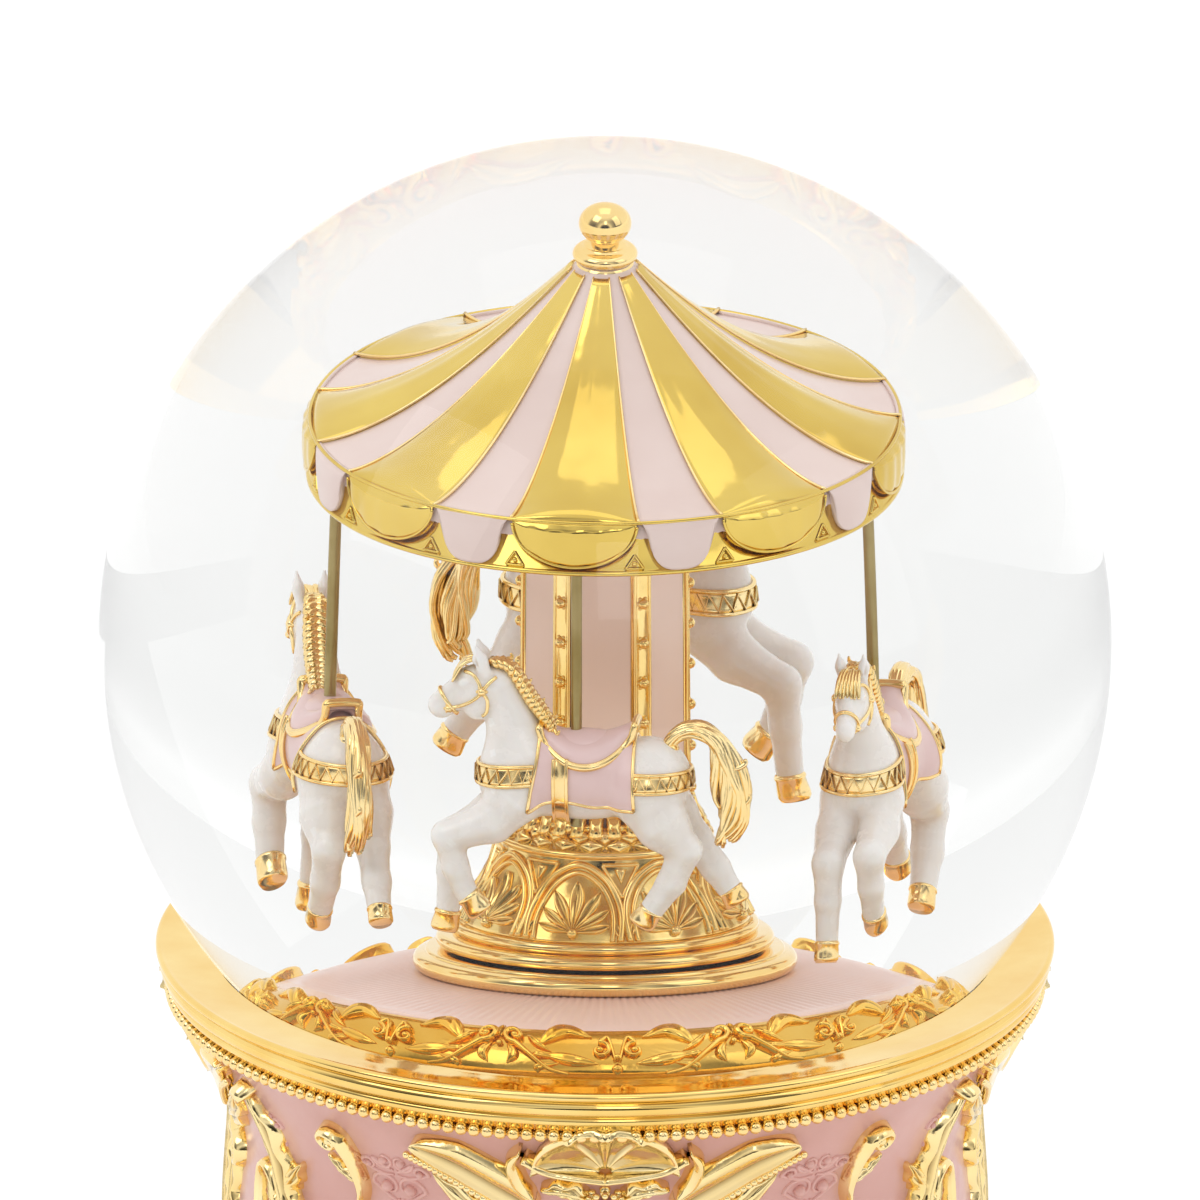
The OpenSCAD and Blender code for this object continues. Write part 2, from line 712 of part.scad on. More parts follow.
module great_wheel() {
    pitch = 360 / crown_teeth;
    tooth_w = 2 * PI * crown_pitch_r / crown_teeth;
    color("Goldenrod") difference() {
        union() {
            translate([0, 0, crown_low_h]) cylinder(r = 11.9, h = crown_face_h - crown_low_h);
            for (i = [0 : crown_teeth - 1]) rotate([0, 0, (i + 0.5) * pitch])
                translate([crown_pitch_r - 1, 0, crown_face_h - eps]) rotate([90, 0, 90])
                    linear_extrude(2) polygon([
                        [-tooth_w * 0.24, 0], [tooth_w * 0.24, 0],
                        [tooth_w * 0.12, 1.1], [-tooth_w * 0.12, 1.1]]);
        }
        translate([0, 0, crown_low_h - 1]) cylinder(r = arbor_r, h = 3);
    }
}

module drive_carrier() {
    color("SlateGray") difference() {
        translate([0, 0, 58.5]) cylinder(r = carrier_r, h = 2);
        translate([0, 0, 57.5]) cylinder(r = arbor_r, h = 4);
    }
}

module drive_magnets() {
    color("Silver") around(magnet_count, magnet_orbit) translate([0, 0, 60.5])
        cylinder(r = magnet_r, h = membrane_low_h - magnet_air - 60.5);
}

module music_cylinder() {
    golden_angle = 137.5;
    color("Goldenrod") difference() {
        union() {
            translate([cyl_x0, 0, cyl_axis_h]) rotate([0, 90, 0]) cylinder(r = cyl_r, h = cyl_len);
            for (i = [0 : notes - 1], j = [0 : pins_per_note - 1])
                translate([cyl_x0 + 0.25 + (note_pitch - 0.25) / 2 + i * note_pitch, 0, cyl_axis_h])
                    rotate([golden_angle * (i * pins_per_note + j), 0, 0])
                        translate([0, 0, cyl_r - 0.3]) cylinder(r = 0.2, h = 0.3 + pin_reach, $fn = 6);
        }
        translate([cyl_x0 - 1, 0, cyl_axis_h]) rotate([0, 90, 0]) cylinder(r = shaft_r, h = cyl_len + 2);
    }
}

module cylinder_shaft() {
    pinion_w = 1.8;
    color("Silver") translate([0, 0, cyl_axis_h]) rotate([0, 90, 0]) {
        translate([0, 0, crown_pitch_r - 1.4])
            cylinder(r = shaft_r, h = bearing_b_x + bearing_w + 0.5 - crown_pitch_r + 1.4);
        translate([0, 0, crown_pitch_r - pinion_w / 2])
            spur_gear(pinion_teeth, pinion_pitch_r, 2 * pinion_pitch_r / pinion_teeth, pinion_w);
    }
}

module cylinder_gear() {
    color("Goldenrod") difference() {
        translate([gear_x, 0, cyl_axis_h]) rotate([0, 90, 0])
            spur_gear(cylinder_gear_teeth, cyl_gear_r, gear_module, gear_w);
        translate([gear_x - 1, 0, cyl_axis_h]) rotate([0, 90, 0]) cylinder(r = shaft_r, h = 4);
    }
}

module governor_wheel() {
    color("Goldenrod") translate([0, gov_y, gov_h]) rotate([0, 90, 0]) {
        translate([0, 0, worm_x - 4.2]) cylinder(r = 0.5, h = gear_x + gear_w + 0.3 - worm_x + 4.2);
        translate([0, 0, worm_x - 0.5]) rotate([0, 0, 90])
            spur_gear(worm_wheel_teeth, worm_wheel_r, worm_module, 1);
        translate([0, 0, gear_x]) rotate([0, 0, mesh_turn(90 - gov_tilt, cylinder_gear_teeth, governor_pinion_teeth)])
            spur_gear(governor_pinion_teeth, gov_pinion_r, gear_module, gear_w);
    }
}

module governor_fan() {
    thread_r = 1.15;
    fan_h = worm_low_h + worm_turns * worm_pitch + 2.6;
    color("Silver") translate([worm_x, worm_y, 0]) {
        translate([0, 0, plate_high_h + 0.6]) cylinder(r = 0.5, h = fan_h + 3 - plate_high_h - 0.6);
        translate([0, 0, worm_low_h])
            linear_extrude(worm_turns * worm_pitch, twist = -360 * worm_turns, slices = 12 * worm_turns, $fn = 14)
                translate([0, thread_r - worm_out_r]) circle(thread_r, $fn = 14);
        translate([-3.8, -0.2, fan_h]) cube([7.6, 0.4, 2.6]);
    }
}

base_housing();
foot_ring();
foot_pads();
bead_ring();
globe_dish();
crest_ornaments();
leaf_sprays();
glass_globe();
globe_plug();
globe_gasket();
inner_floor();
floor_wreath();
plinth_ring();
pivot_pin();
bottom_cover();
cover_screws();
movement_screws();
movement_bedplate();
spring_barrel();
mainspring();
comb();
comb_screws();
cylinder_bearings();
governor_frame();
turntable();
pedestal_drum();
pedestal_cap();
column();
column_panels();
column_strips();
canopy_roof();
canopy_panels();
canopy_valance();
canopy_ceiling();
canopy_finial();
pole(0);  // pole_1
pole(1);  // pole_2
pole(2);  // pole_3
pole(3);  // pole_4
horse(0);  // horse_1
horse(1);  // horse_2
horse(2);  // horse_3
horse(3);  // horse_4
spindle();
follower_carrier();
follower_magnets();
pivot_jewel();
winding_key();
spring_arbor();
great_wheel();
drive_carrier();
drive_magnets();
music_cylinder();
cylinder_shaft();
cylinder_gear();
governor_wheel();
governor_fan();
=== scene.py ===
import math

import bmesh
import bpy
import numpy as np
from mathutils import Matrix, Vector


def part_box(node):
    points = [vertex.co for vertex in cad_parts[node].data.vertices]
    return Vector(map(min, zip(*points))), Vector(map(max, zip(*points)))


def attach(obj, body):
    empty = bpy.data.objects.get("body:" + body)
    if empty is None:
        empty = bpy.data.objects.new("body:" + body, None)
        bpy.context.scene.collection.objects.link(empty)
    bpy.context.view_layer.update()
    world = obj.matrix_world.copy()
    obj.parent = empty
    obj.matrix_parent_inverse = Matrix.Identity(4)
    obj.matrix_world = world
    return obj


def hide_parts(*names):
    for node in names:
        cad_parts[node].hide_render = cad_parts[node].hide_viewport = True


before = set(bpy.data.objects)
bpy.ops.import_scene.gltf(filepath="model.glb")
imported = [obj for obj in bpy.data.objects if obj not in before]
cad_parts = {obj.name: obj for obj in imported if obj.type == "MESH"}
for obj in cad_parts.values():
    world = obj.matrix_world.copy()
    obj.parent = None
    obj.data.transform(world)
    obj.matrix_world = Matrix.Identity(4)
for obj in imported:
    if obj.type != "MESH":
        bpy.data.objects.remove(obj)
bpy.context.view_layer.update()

MM = 0.001
TAU = 2 * math.pi


# ---------------------------------------------------------------- sizes from the frame, in mm

def box_mm(node):
    """The lowest and highest corners of a CAD node, in millimetres."""
    low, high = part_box(node)
    return np.array(low) / MM, np.array(high) / MM


GLOBE_TOP = box_mm("glass_globe")[1][2]
GLOBE_R = 50.0
GLOBE_Z = GLOBE_TOP - GLOBE_R
GLASS_WALL = 2.2
REST_TURN = math.radians(-6.5)
HORSES = 4
HORSE_LIFT = (0.0, -3.7, 2.3, -3.7)
HORSE_YAW = (0.0, 0.0, 0.0, math.radians(12))
POLE_ORBIT = 20.3
FRONT = -math.pi / 2

WAIST_R = 36.8
WAIST_Z = 50.0
FOOT_TOP_Z = 9.4
BODY_FOOT_R = 46.6
BODY_RIM_R = 43.0
BODY_RIM_Z = 65.8
LIP_Z = 70.0
DISH_R = 45.2


def body_radius(z):
    """Radius of the pink body at height z."""
    if z > WAIST_Z:
        k = (z - WAIST_Z) / (BODY_RIM_Z - WAIST_Z)
        return WAIST_R + (BODY_RIM_R - WAIST_R) * k ** 1.5
    k = (WAIST_Z - z) / (WAIST_Z - FOOT_TOP_Z)
    return WAIST_R + (BODY_FOOT_R - WAIST_R) * max(k, 0) ** 1.6


# ---------------------------------------------------------------- materials

def new_material(name):
    """A new material, its node tree and its shader."""
    material = bpy.data.materials.new(name)
    material.use_nodes = True
    tree = material.node_tree
    return material, tree, tree.nodes["Principled BSDF"]


def node(tree, kind, **values):
    """A new node; values are its properties, or its inputs where they name an input."""
    made = tree.nodes.new("ShaderNode" + kind)
    for key, value in values.items():
        if key in made.inputs:
            made.inputs[key].default_value = value
        else:
            setattr(made, key, value)
    return made


def noise(tree, scale, detail=4.0, roughness=0.55, stretch=None):
    """Noise in the object's own space; scale is features per metre."""
    coord = node(tree, "TexCoord")
    made = node(tree, "TexNoise", Scale=scale, Detail=detail, Roughness=roughness)
    if stretch is None:
        tree.links.new(coord.outputs["Object"], made.inputs["Vector"])
    else:
        mapping = node(tree, "Mapping", Scale=stretch)
        tree.links.new(coord.outputs["Object"], mapping.inputs["Vector"])
        tree.links.new(mapping.outputs["Vector"], made.inputs["Vector"])
    return made.outputs["Fac"]


def ramp(tree, value, *stops):
    """A colour ramp; each stop is (position, colour or number)."""
    made = node(tree, "ValToRGB")
    elements = made.color_ramp.elements
    while len(elements) < len(stops):
        elements.new(0.5)
    for element, (position, colour) in zip(elements, stops):
        if not hasattr(colour, "__len__"):
            colour = (colour, colour, colour)
        element.position = position
        element.color = (*colour, 1)
    tree.links.new(value, made.inputs["Fac"])
    return made.outputs["Color"]


def mix(tree, factor, a, b, mode="MIX"):
    """A mix of two colours; each input may be a socket, a colour or a number."""
    made = node(tree, "Mix", data_type="RGBA", blend_type=mode)
    for socket, value in ((made.inputs[0], factor), (made.inputs[6], a), (made.inputs[7], b)):
        if isinstance(value, bpy.types.NodeSocket):
            tree.links.new(value, socket)
        elif hasattr(value, "__len__"):
            socket.default_value = (*value, 1)
        else:
            socket.default_value = value
    return made.outputs[2]


def bump(tree, shader, height, depth_mm):
    """Lets a height bump the shader's normal by up to depth_mm."""
    made = node(tree, "Bump", Strength=1.0, Distance=depth_mm * MM)
    tree.links.new(height, made.inputs["Height"])
    tree.links.new(made.outputs["Normal"], shader.inputs["Normal"])


def recess_shade_mask(tree, low, high):
    """Painted shade mask: 0 in recesses, where the darker shade colour is painted, 1 on raised edges, from
    the mesh's own pointiness.
    """
    geometry = node(tree, "NewGeometry")
    return ramp(tree, geometry.outputs["Pointiness"], (low, 0.0), (high, 1.0))


def gold(name, light=(1.0, 0.78, 0.36), deep=(0.93, 0.61, 0.18), rough=(0.07, 0.16),
         patch=90.0, ripple_mm=0.03, ripple_scale=160.0, recess_shade=None):
    """Gold plate: colour drift, uneven polish, a faint orange-peel ripple and painted shade in the recesses
    when a recess colour is given.
    """
    material, tree, shader = new_material(name)
    shader.inputs["Metallic"].default_value = 1.0
    shader.inputs["Specular IOR Level"].default_value = 0.5
    drift = ramp(tree, noise(tree, patch), (0.3, deep), (0.7, light))
    # painted shade: with a recess colour given, the recesses are painted darker
    if recess_shade:
        drift = mix(tree, recess_shade_mask(tree, 0.44, 0.53), recess_shade, drift)
    tree.links.new(drift, shader.inputs["Base Color"])
    polish = ramp(tree, noise(tree, 900.0, 6.0), (0.35, rough[0]), (0.7, rough[1]))
    tree.links.new(polish, shader.inputs["Roughness"])
    bump(tree, shader, noise(tree, ripple_scale, 3.0), ripple_mm)
    return material


def lacquer(name, light, deep, rough=(0.28, 0.42), coat=0.25, patch=120.0, grain_mm=0.012,
            grain_scale=2500.0, recess_shade=None, soft=0.0):
    """Painted resin: slight colour drift, a fine grain in the paint, a thin clear coat and painted shade in
    the recesses when a recess colour is given.
    """
    material, tree, shader = new_material(name)
    drift = ramp(tree, noise(tree, patch, 5.0), (0.3, deep), (0.72, light))
    # painted shade: with a recess colour given, the recesses are painted darker
    if recess_shade:
        drift = mix(tree, recess_shade_mask(tree, 0.45, 0.52), recess_shade, drift)
    tree.links.new(drift, shader.inputs["Base Color"])
    sheen = ramp(tree, noise(tree, 700.0), (0.3, rough[0]), (0.7, rough[1]))
    tree.links.new(sheen, shader.inputs["Roughness"])
    shader.inputs["Coat Weight"].default_value = coat
    shader.inputs["Coat Roughness"].default_value = 0.12
    if soft:
        shader.inputs["Subsurface Weight"].default_value = soft
        shader.inputs["Subsurface Radius"].default_value = (1.0, 0.7, 0.5)
        shader.inputs["Subsurface Scale"].default_value = 0.4 * MM
    bump(tree, shader, noise(tree, grain_scale, 3.0), grain_mm)
    return material


def metal(name, light, deep, rough=(0.25, 0.45), stretch=(1, 1, 12), scratch=900.0):
    """Worked metal with drawn scratches."""
    material, tree, shader = new_material(name)
    shader.inputs["Metallic"].default_value = 1.0
    lines = noise(tree, scratch, 6.0, 0.6, stretch)
    tree.links.new(ramp(tree, noise(tree, 250.0), (0.3, deep), (0.7, light)), shader.inputs["Base Color"])
    tree.links.new(ramp(tree, lines, (0.3, rough[0]), (0.7, rough[1])), shader.inputs["Roughness"])
    bump(tree, shader, lines, 0.01)
    return material


def moulded(name, light, deep, rough=(0.5, 0.7)):
    """Moulded rubber or plastic with a fine matt texture."""
    material, tree, shader = new_material(name)
    colour = ramp(tree, noise(tree, 300.0), (0.3, deep), (0.7, light))
    polish = ramp(tree, noise(tree, 1200.0), (0.3, rough[0]), (0.7, rough[1]))
    tree.links.new(colour, shader.inputs["Base Color"])
    tree.links.new(polish, shader.inputs["Roughness"])
    bump(tree, shader, noise(tree, 5000.0, 2.0), 0.02)
    return material


def clear_material(name, ior):
    """The outer wall with the water behind it: one refraction, faintly and unevenly tinted."""
    material, tree, shader = new_material(name)
    shader.inputs["Transmission Weight"].default_value = 1.0
    shader.inputs["IOR"].default_value = ior
    tint = ramp(tree, noise(tree, 12.0, 2.0), (0.3, (0.88, 0.88, 0.875)), (0.7, (0.89, 0.89, 0.885)))
    tree.links.new(tint, shader.inputs["Base Color"])
    shader.inputs["Roughness"].default_value = 0.0
    return material


def wetted_material(name):
    """The inner wall where water touches the glass: it neither bends nor mirrors light."""
    material, tree, shader = new_material(name)
    tree.nodes.remove(shader)
    clear = node(tree, "BsdfTransparent")
    tint = ramp(tree, noise(tree, 15.0, 2.0), (0.3, (0.985, 0.99, 0.988)), (0.7, (1, 1, 1)))
    tree.links.new(tint, clear.inputs["Color"])
    tree.links.new(clear.outputs[0], tree.nodes["Material Output"].inputs["Surface"])
    return material


# The recess colours of gold_carved, gold_under_water, pink_body_paint, horse_white_paint and gold_pedestal
# are painted shade in their recesses.
GOLD = gold("gold_polished")
GOLD_RELIEF = gold("gold_carved", light=(1.0, 0.83, 0.46), deep=(0.95, 0.70, 0.28), rough=(0.08, 0.20),
                   ripple_mm=0.05, ripple_scale=500.0, recess_shade=(0.36, 0.24, 0.09))
GOLD_WARM = gold("gold_under_water", light=(1.0, 0.66, 0.17), deep=(0.86, 0.44, 0.05), rough=(0.08, 0.2),
                 ripple_mm=0.05, ripple_scale=400.0, recess_shade=(0.38, 0.17, 0.02))
GOLD_PANEL = gold("gold_canopy_foil", light=(0.86, 0.64, 0.16), deep=(0.68, 0.46, 0.09), rough=(0.08, 0.16),
                  patch=60.0, ripple_mm=0.12, ripple_scale=120.0)
PINK_BODY = lacquer("pink_body_paint", (0.80, 0.47, 0.42), (0.73, 0.40, 0.35), recess_shade=(0.55, 0.24, 0.20))
PINK_FLOOR = lacquer("pink_floor_paint", (1.0, 0.74, 0.66), (0.97, 0.68, 0.60), patch=80.0)
PALE_PINK = lacquer("pale_pink_paint", (0.81, 0.65, 0.60), (0.76, 0.59, 0.54), patch=150.0)
COLUMN_PINK = lacquer("column_pink_paint", (1.0, 0.79, 0.68), (0.96, 0.74, 0.63), patch=90.0)
HORSE_WHITE = lacquer("horse_white_paint", (0.93, 0.91, 0.89), (0.88, 0.84, 0.80), rough=(0.2, 0.32),
                      coat=0.4, recess_shade=(0.72, 0.60, 0.50), soft=0.15)
POLE_BRASS = metal("pole_brass", (0.42, 0.33, 0.15), (0.30, 0.22, 0.08), (0.28, 0.45), (1, 1, 0.05), 3000.0)
STEEL = metal("steel", (0.66, 0.66, 0.67), (0.52, 0.52, 0.53))
ZINC = metal("cast_zinc", (0.55, 0.55, 0.56), (0.42, 0.42, 0.43), (0.4, 0.6), (1, 1, 1), 1500.0)
BRASS = metal("movement_brass", (0.78, 0.58, 0.25), (0.66, 0.46, 0.17), (0.2, 0.38))
NICKEL = metal("nickel", (0.74, 0.74, 0.76), (0.62, 0.62, 0.64), (0.12, 0.25))
RUBBER_DARK = moulded("rubber_dark", (0.05, 0.05, 0.05), (0.03, 0.03, 0.03))
RUBBER_GREY = moulded("rubber_grey", (0.42, 0.42, 0.40), (0.34, 0.34, 0.33))
PLASTIC_BLACK = moulded("plastic_black", (0.04, 0.04, 0.045), (0.025, 0.025, 0.028), (0.4, 0.6))
PLASTIC_IVORY = moulded("plastic_ivory", (0.80, 0.77, 0.70), (0.72, 0.69, 0.62), (0.35, 0.5))
RUBY = lacquer("ruby", (0.45, 0.02, 0.06), (0.32, 0.01, 0.04), (0.05, 0.1), 1.0)
SADDLE_PINK = lacquer("saddle_pink_paint", (0.84, 0.62, 0.60), (0.78, 0.55, 0.53), patch=200.0)
GOLD_FINE = gold("gold_trim", light=(1.0, 0.80, 0.42), deep=(0.96, 0.66, 0.24), rough=(0.12, 0.26),
                 patch=200.0, ripple_mm=0.02, ripple_scale=900.0)
GOLD_CARVED = gold("gold_pedestal", light=(1.0, 0.76, 0.33), deep=(0.92, 0.62, 0.18), rough=(0.10, 0.22),
                   patch=150.0, ripple_mm=0.03, ripple_scale=600.0, recess_shade=(0.38, 0.24, 0.06))
GOLD_DISH = gold("gold_dish", light=(0.95, 0.71, 0.27), deep=(0.88, 0.57, 0.15), rough=(0.05, 0.11),
                 ripple_mm=0.02, ripple_scale=60.0)
FILLED_GLASS = clear_material("water_filled_glass", 1.333)
WETTED_GLASS = wetted_material("wetted_inner_wall")

CAD_MATERIALS = {
    STEEL: ("pivot_pin", "cover_screws", "movement_screws", "comb", "comb_screws", "spring_arbor",
            "cylinder_shaft", "mainspring", "governor_fan"),
    ZINC: ("movement_bedplate", "spring_barrel", "cylinder_bearings", "governor_frame"),
    BRASS: ("great_wheel", "music_cylinder", "cylinder_gear", "governor_wheel"),
    NICKEL: ("follower_magnets", "drive_magnets"),
    RUBBER_DARK: ("foot_pads", "globe_gasket"),
    RUBBER_GREY: ("globe_plug",),
    PLASTIC_BLACK: ("bottom_cover",),
    PLASTIC_IVORY: ("spindle", "follower_carrier", "drive_carrier"),
    RUBY: ("pivot_jewel",),
    POLE_BRASS: ("pole_1", "pole_2", "pole_3", "pole_4"),
    GOLD: ("foot_ring", "globe_dish", "bead_ring", "crest_ornaments", "leaf_sprays", "floor_wreath",
           "plinth_ring", "turntable", "pedestal_drum", "pedestal_cap", "column", "column_strips",
           "canopy_panels", "canopy_valance", "canopy_finial", "winding_key"),
    PINK_BODY: ("base_housing",),
    PINK_FLOOR: ("inner_floor",),
    PALE_PINK: ("canopy_roof", "canopy_ceiling"),
    COLUMN_PINK: ("column_panels",),
    HORSE_WHITE: ("horse_1", "horse_2", "horse_3", "horse_4"),
}


def dress_cad_nodes():
    """Gives every CAD node its material."""
    for material, names in CAD_MATERIALS.items():
        for name in names:
            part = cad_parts[name]
            part.data.materials.clear()
            part.data.materials.append(material)


# ---------------------------------------------------------------- mesh tools, in mm

class Shape:
    """Vertices and faces of one piece while it is being made."""

    def __init__(self):
        self.points = []
        self.faces = []
        self.material_of = []
        self.count = 0

    def add(self, points, faces, material=0):
        """Adds points and the faces between them; material is the number of the faces' material slot."""
        points = np.asarray(points, float).reshape(-1, 3)
        self.points.append(points)
        self.faces += [tuple(int(i) + self.count for i in face) for face in faces]
        self.material_of += [material] * len(faces)
        self.count += len(points)

    def moved(self, matrix, place):
        """A copy turned by a matrix and moved to a place."""
        other = Shape()
        other.points = [p @ matrix + place for p in self.points]
        other.faces, other.material_of, other.count = list(self.faces), list(self.material_of), self.count
        return other

    def build(self, name, materials, body, slot, replaces=(), smooth=True, sharp_deg=None, outward=False):
        """Makes the piece and rides it on its body; slot is not used; outward turns all faces out."""
        mesh = bpy.data.meshes.new(name)
        mesh.from_pydata((np.vstack(self.points) * MM).tolist(), [], self.faces)
        if outward:
            turned = bmesh.new()
            turned.from_mesh(mesh)
            bmesh.ops.recalc_face_normals(turned, faces=turned.faces)
            turned.to_mesh(mesh)
            turned.free()
        if not isinstance(materials, (list, tuple)):
            materials = [materials]
        for material in materials:
            mesh.materials.append(material)
        mesh.polygons.foreach_set("material_index", self.material_of)
        mesh.polygons.foreach_set("use_smooth", [smooth] * len(mesh.polygons))
        mesh.update()
        if sharp_deg:
            mesh.set_sharp_from_angle(angle=math.radians(sharp_deg))
        piece = bpy.data.objects.new(name, mesh)
        bpy.context.scene.collection.objects.link(piece)
        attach(piece, body)
        if replaces:
            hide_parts(*replaces)
        return piece


def grid_faces(rows, columns, wrap_rows=False, wrap_columns=False):
    """Quads over a grid of points stored row by row."""
    faces = []
    for i in range(rows if wrap_rows else rows - 1):
        for j in range(columns if wrap_columns else columns - 1):
            i2, j2 = (i + 1) % rows, (j + 1) % columns
            faces.append((i * columns + j, i * columns + j2, i2 * columns + j2, i2 * columns + j))
    return faces


def lathe(shape, outline, segments=256, closed=True, material=0):
    """Turns an outline of (r, z) points about the vertical axis."""
    outline = np.asarray(outline, float)
    angles = np.arange(segments) * TAU / segments
    r, z = outline[:, 0], outline[:, 1]
    points = np.stack([np.outer(np.cos(angles), r), np.outer(np.sin(angles), r),
                       np.broadcast_to(z, (segments, len(z)))], axis=-1)
    faces = [face[::-1] for face in grid_faces(segments, len(outline), True, closed)]
    shape.add(points, faces, material)


def smooth_curve(points, count):
    """A Catmull-Rom curve through the points, at count even steps of its parameter."""
    points = np.asarray(points, float)
    ends = np.vstack([2 * points[0] - points[1], points, 2 * points[-1] - points[-2]])
    out = []
    for t in np.linspace(0, len(points) - 1, count):
        i = min(int(t), len(points) - 2)
        u = t - i
        p0, p1, p2, p3 = ends[i:i + 4]
        out.append(0.5 * (2 * p1 + (p2 - p0) * u + (2 * p0 - 5 * p1 + 4 * p2 - p3) * u ** 2
                          + (3 * p1 - p0 - 3 * p2 + p3) * u ** 3))
    return np.array(out)


def unit(v):
    """Vectors brought to length one."""
    return v / np.maximum(np.linalg.norm(v, axis=-1, keepdims=True), 1e-9)


def dome(u, power=2):
    """A dome's height across its width: 1 in the middle and 0 at u = -1 and 1; a higher power flattens it."""
    return np.sqrt(np.maximum(1 - np.abs(u) ** power, 0))


def around(r, angle, z):
    """Points at a radius, an angle about the vertical axis and a height."""
    return np.stack(np.broadcast_arrays(r * np.cos(angle), r * np.sin(angle), z), axis=-1)


def tube(shape, path, radius, sides=8, closed=False, flatten=1.0):
    """A tube along a path; radius is a number or one for each point. flatten squeezes it along its normal."""
    path = np.asarray(path, float)
    n = len(path)
    radius = np.broadcast_to(np.asarray(radius, float), (n,))
    tangent = unit(np.roll(path, -1, 0) - np.roll(path, 1, 0)) if closed else unit(np.gradient(path, axis=0))
    up = np.array([0, 0, 1.0]) if abs(tangent[0][2]) < 0.9 else np.array([1.0, 0, 0])
    normal = []
    for t in tangent:
        up = unit(up - t * np.dot(up, t))
        normal.append(up)
    normal = np.array(normal)
    side = np.cross(tangent, normal)
    a = np.arange(sides) * TAU / sides
    ring = (np.cos(a)[None, :, None] * side[:, None, :]
            + np.sin(a)[None, :, None] * normal[:, None, :] * flatten) * radius[:, None, None]
    faces = grid_faces(n, sides, closed, True)
    if not closed:
        faces += [tuple(range(sides - 1, -1, -1)), tuple((n - 1) * sides + j for j in range(sides))]
    shape.add(path[:, None, :] + ring, faces)


def ball(shape, centre, radius, rows=8, columns=12, squash=(1, 1, 1)):
    """A small sphere with its poles on z."""
    lat = np.linspace(-math.pi / 2, math.pi / 2, rows + 1)[1:-1]
    lon = np.arange(columns) * TAU / columns
    points = [(0, 0, -1)] + [(math.cos(a) * math.cos(b), math.cos(a) * math.sin(b), math.sin(a))
                             for a in lat for b in lon] + [(0, 0, 1)]
    faces = [(0, 1 + (j + 1) % columns, 1 + j) for j in range(columns)]
    faces += [(1 + a, 1 + b, 1 + c, 1 + d) for a, b, c, d in
              grid_faces(len(lat), columns, False, True)]
    top = len(points) - 1
    base = 1 + (len(lat) - 1) * columns
    faces += [(base + j, base + (j + 1) % columns, top) for j in range(columns)]
    shape.add(np.array(points) * radius * np.array(squash) + np.array(centre, float), faces)


# ---------------------------------------------------------------- soft shapes, in mm

def smooth_min(a, b, k):
    """The lesser of two distances, blended where they differ by less than k."""
    h = np.clip(0.5 + 0.5 * (b - a) / k, 0, 1)
    return b * (1 - h) + a * h - k * h * (1 - h)


def blob(p, centre, radii):
    """Distance to an ellipsoid, close enough for blending."""
    radii = np.array(radii, float)
    q = (p - np.array(centre, float)) / radii
    n = np.linalg.norm(q, axis=-1)
    return n * (n - 1) / np.maximum(np.linalg.norm(q / radii, axis=-1), 1e-6)


def bone(p, a, b, ra, rb, flat=1.0):
    """Distance to a limb from a to b that tapers from ra to rb; flat squeezes it sideways."""
    scale = np.array([1, 1 / flat, 1])
    q = (p - np.array(a, float)) * scale
    line = (np.array(b, float) - np.array(a, float)) * scale
    t = np.clip(q @ line / (line @ line), 0, 1)
    return np.linalg.norm(q - t[..., None] * line, axis=-1) - (ra + (rb - ra) * t)


def surface_nets(field, low, step):
    """The zero surface of a field sampled on a grid, as points and quads."""
    cells = tuple(n - 1 for n in field.shape)
    total = np.zeros(cells + (3,))
    count = np.zeros(cells)
    crossings = []
    for axis in range(3):
        start = [slice(None)] * 3
        end = [slice(None)] * 3
        start[axis], end[axis] = slice(None, -1), slice(1, None)
        f0, f1 = field[tuple(start)], field[tuple(end)]
        crossed = (f0 < 0) != (f1 < 0)
        edge = np.argwhere(crossed)
        place = edge.astype(float)
        place[:, axis] += f0[crossed] / (f0[crossed] - f1[crossed])
        b, c = ((1, 2), (2, 0), (0, 1))[axis]
        corners = []
        for db, dc in ((0, 0), (1, 0), (1, 1), (0, 1)):
            cell = edge.copy()
            cell[:, b] -= db
            cell[:, c] -= dc
            corners.append(cell)
            np.add.at(total, tuple(cell.T), place)
            np.add.at(count, tuple(cell.T), 1)
        crossings.append((corners, f0[crossed] < 0))
    used = count > 0
    number = np.full(cells, -1)
    number[used] = np.arange(used.sum())
    quads = []
    for corners, leaving in crossings:
        quad = np.stack([number[tuple(cell.T)] for cell in corners], axis=1)
        quad[~leaving] = quad[~leaving][:, ::-1]
        quads.append(quad)
    return total[used] / count[used][:, None] * step + low, np.vstack(quads)


def gradient(field, p, h=0.02):
    """A field's slope at points p."""
    return np.stack([(field(p + h * e) - field(p - h * e)) / (2 * h) for e in np.eye(3)], axis=-1)


def skinned(field, low, high, step):
    """A clean mesh of a field's surface: surface nets, then each point pulled onto the surface."""
    axes = [np.arange(a, b, step) for a, b in zip(low, high)]
    grid = np.stack(np.meshgrid(*axes, indexing="ij"), axis=-1)
    points, quads = surface_nets(field(grid), np.array(low, float), step)
    for _ in range(3):
        slope = gradient(field, points)
        points = points - slope * (field(points) / np.maximum((slope ** 2).sum(-1), 0.2))[:, None]
    return points, quads


def march(field, origin, direction, reach=9.0):
    """Where rays that start inside a field leave it."""
    origin, direction = np.broadcast_arrays(np.asarray(origin, float), unit(np.asarray(direction, float)))
    near = np.zeros(origin.shape[:-1])
    found = np.zeros(origin.shape[:-1], bool)
    for t in np.arange(0.25, reach, 0.25):
        outside = field(origin + direction * t) > 0
        near = np.where(~found & ~outside, t, near)
        found |= outside
    far = near + 0.25
    for _ in range(12):
        middle = (near + far) / 2
        outside = field(origin + direction * middle[..., None]) > 0
        near, far = np.where(outside, near, middle), np.where(outside, middle, far)
    return origin + direction * near[..., None]


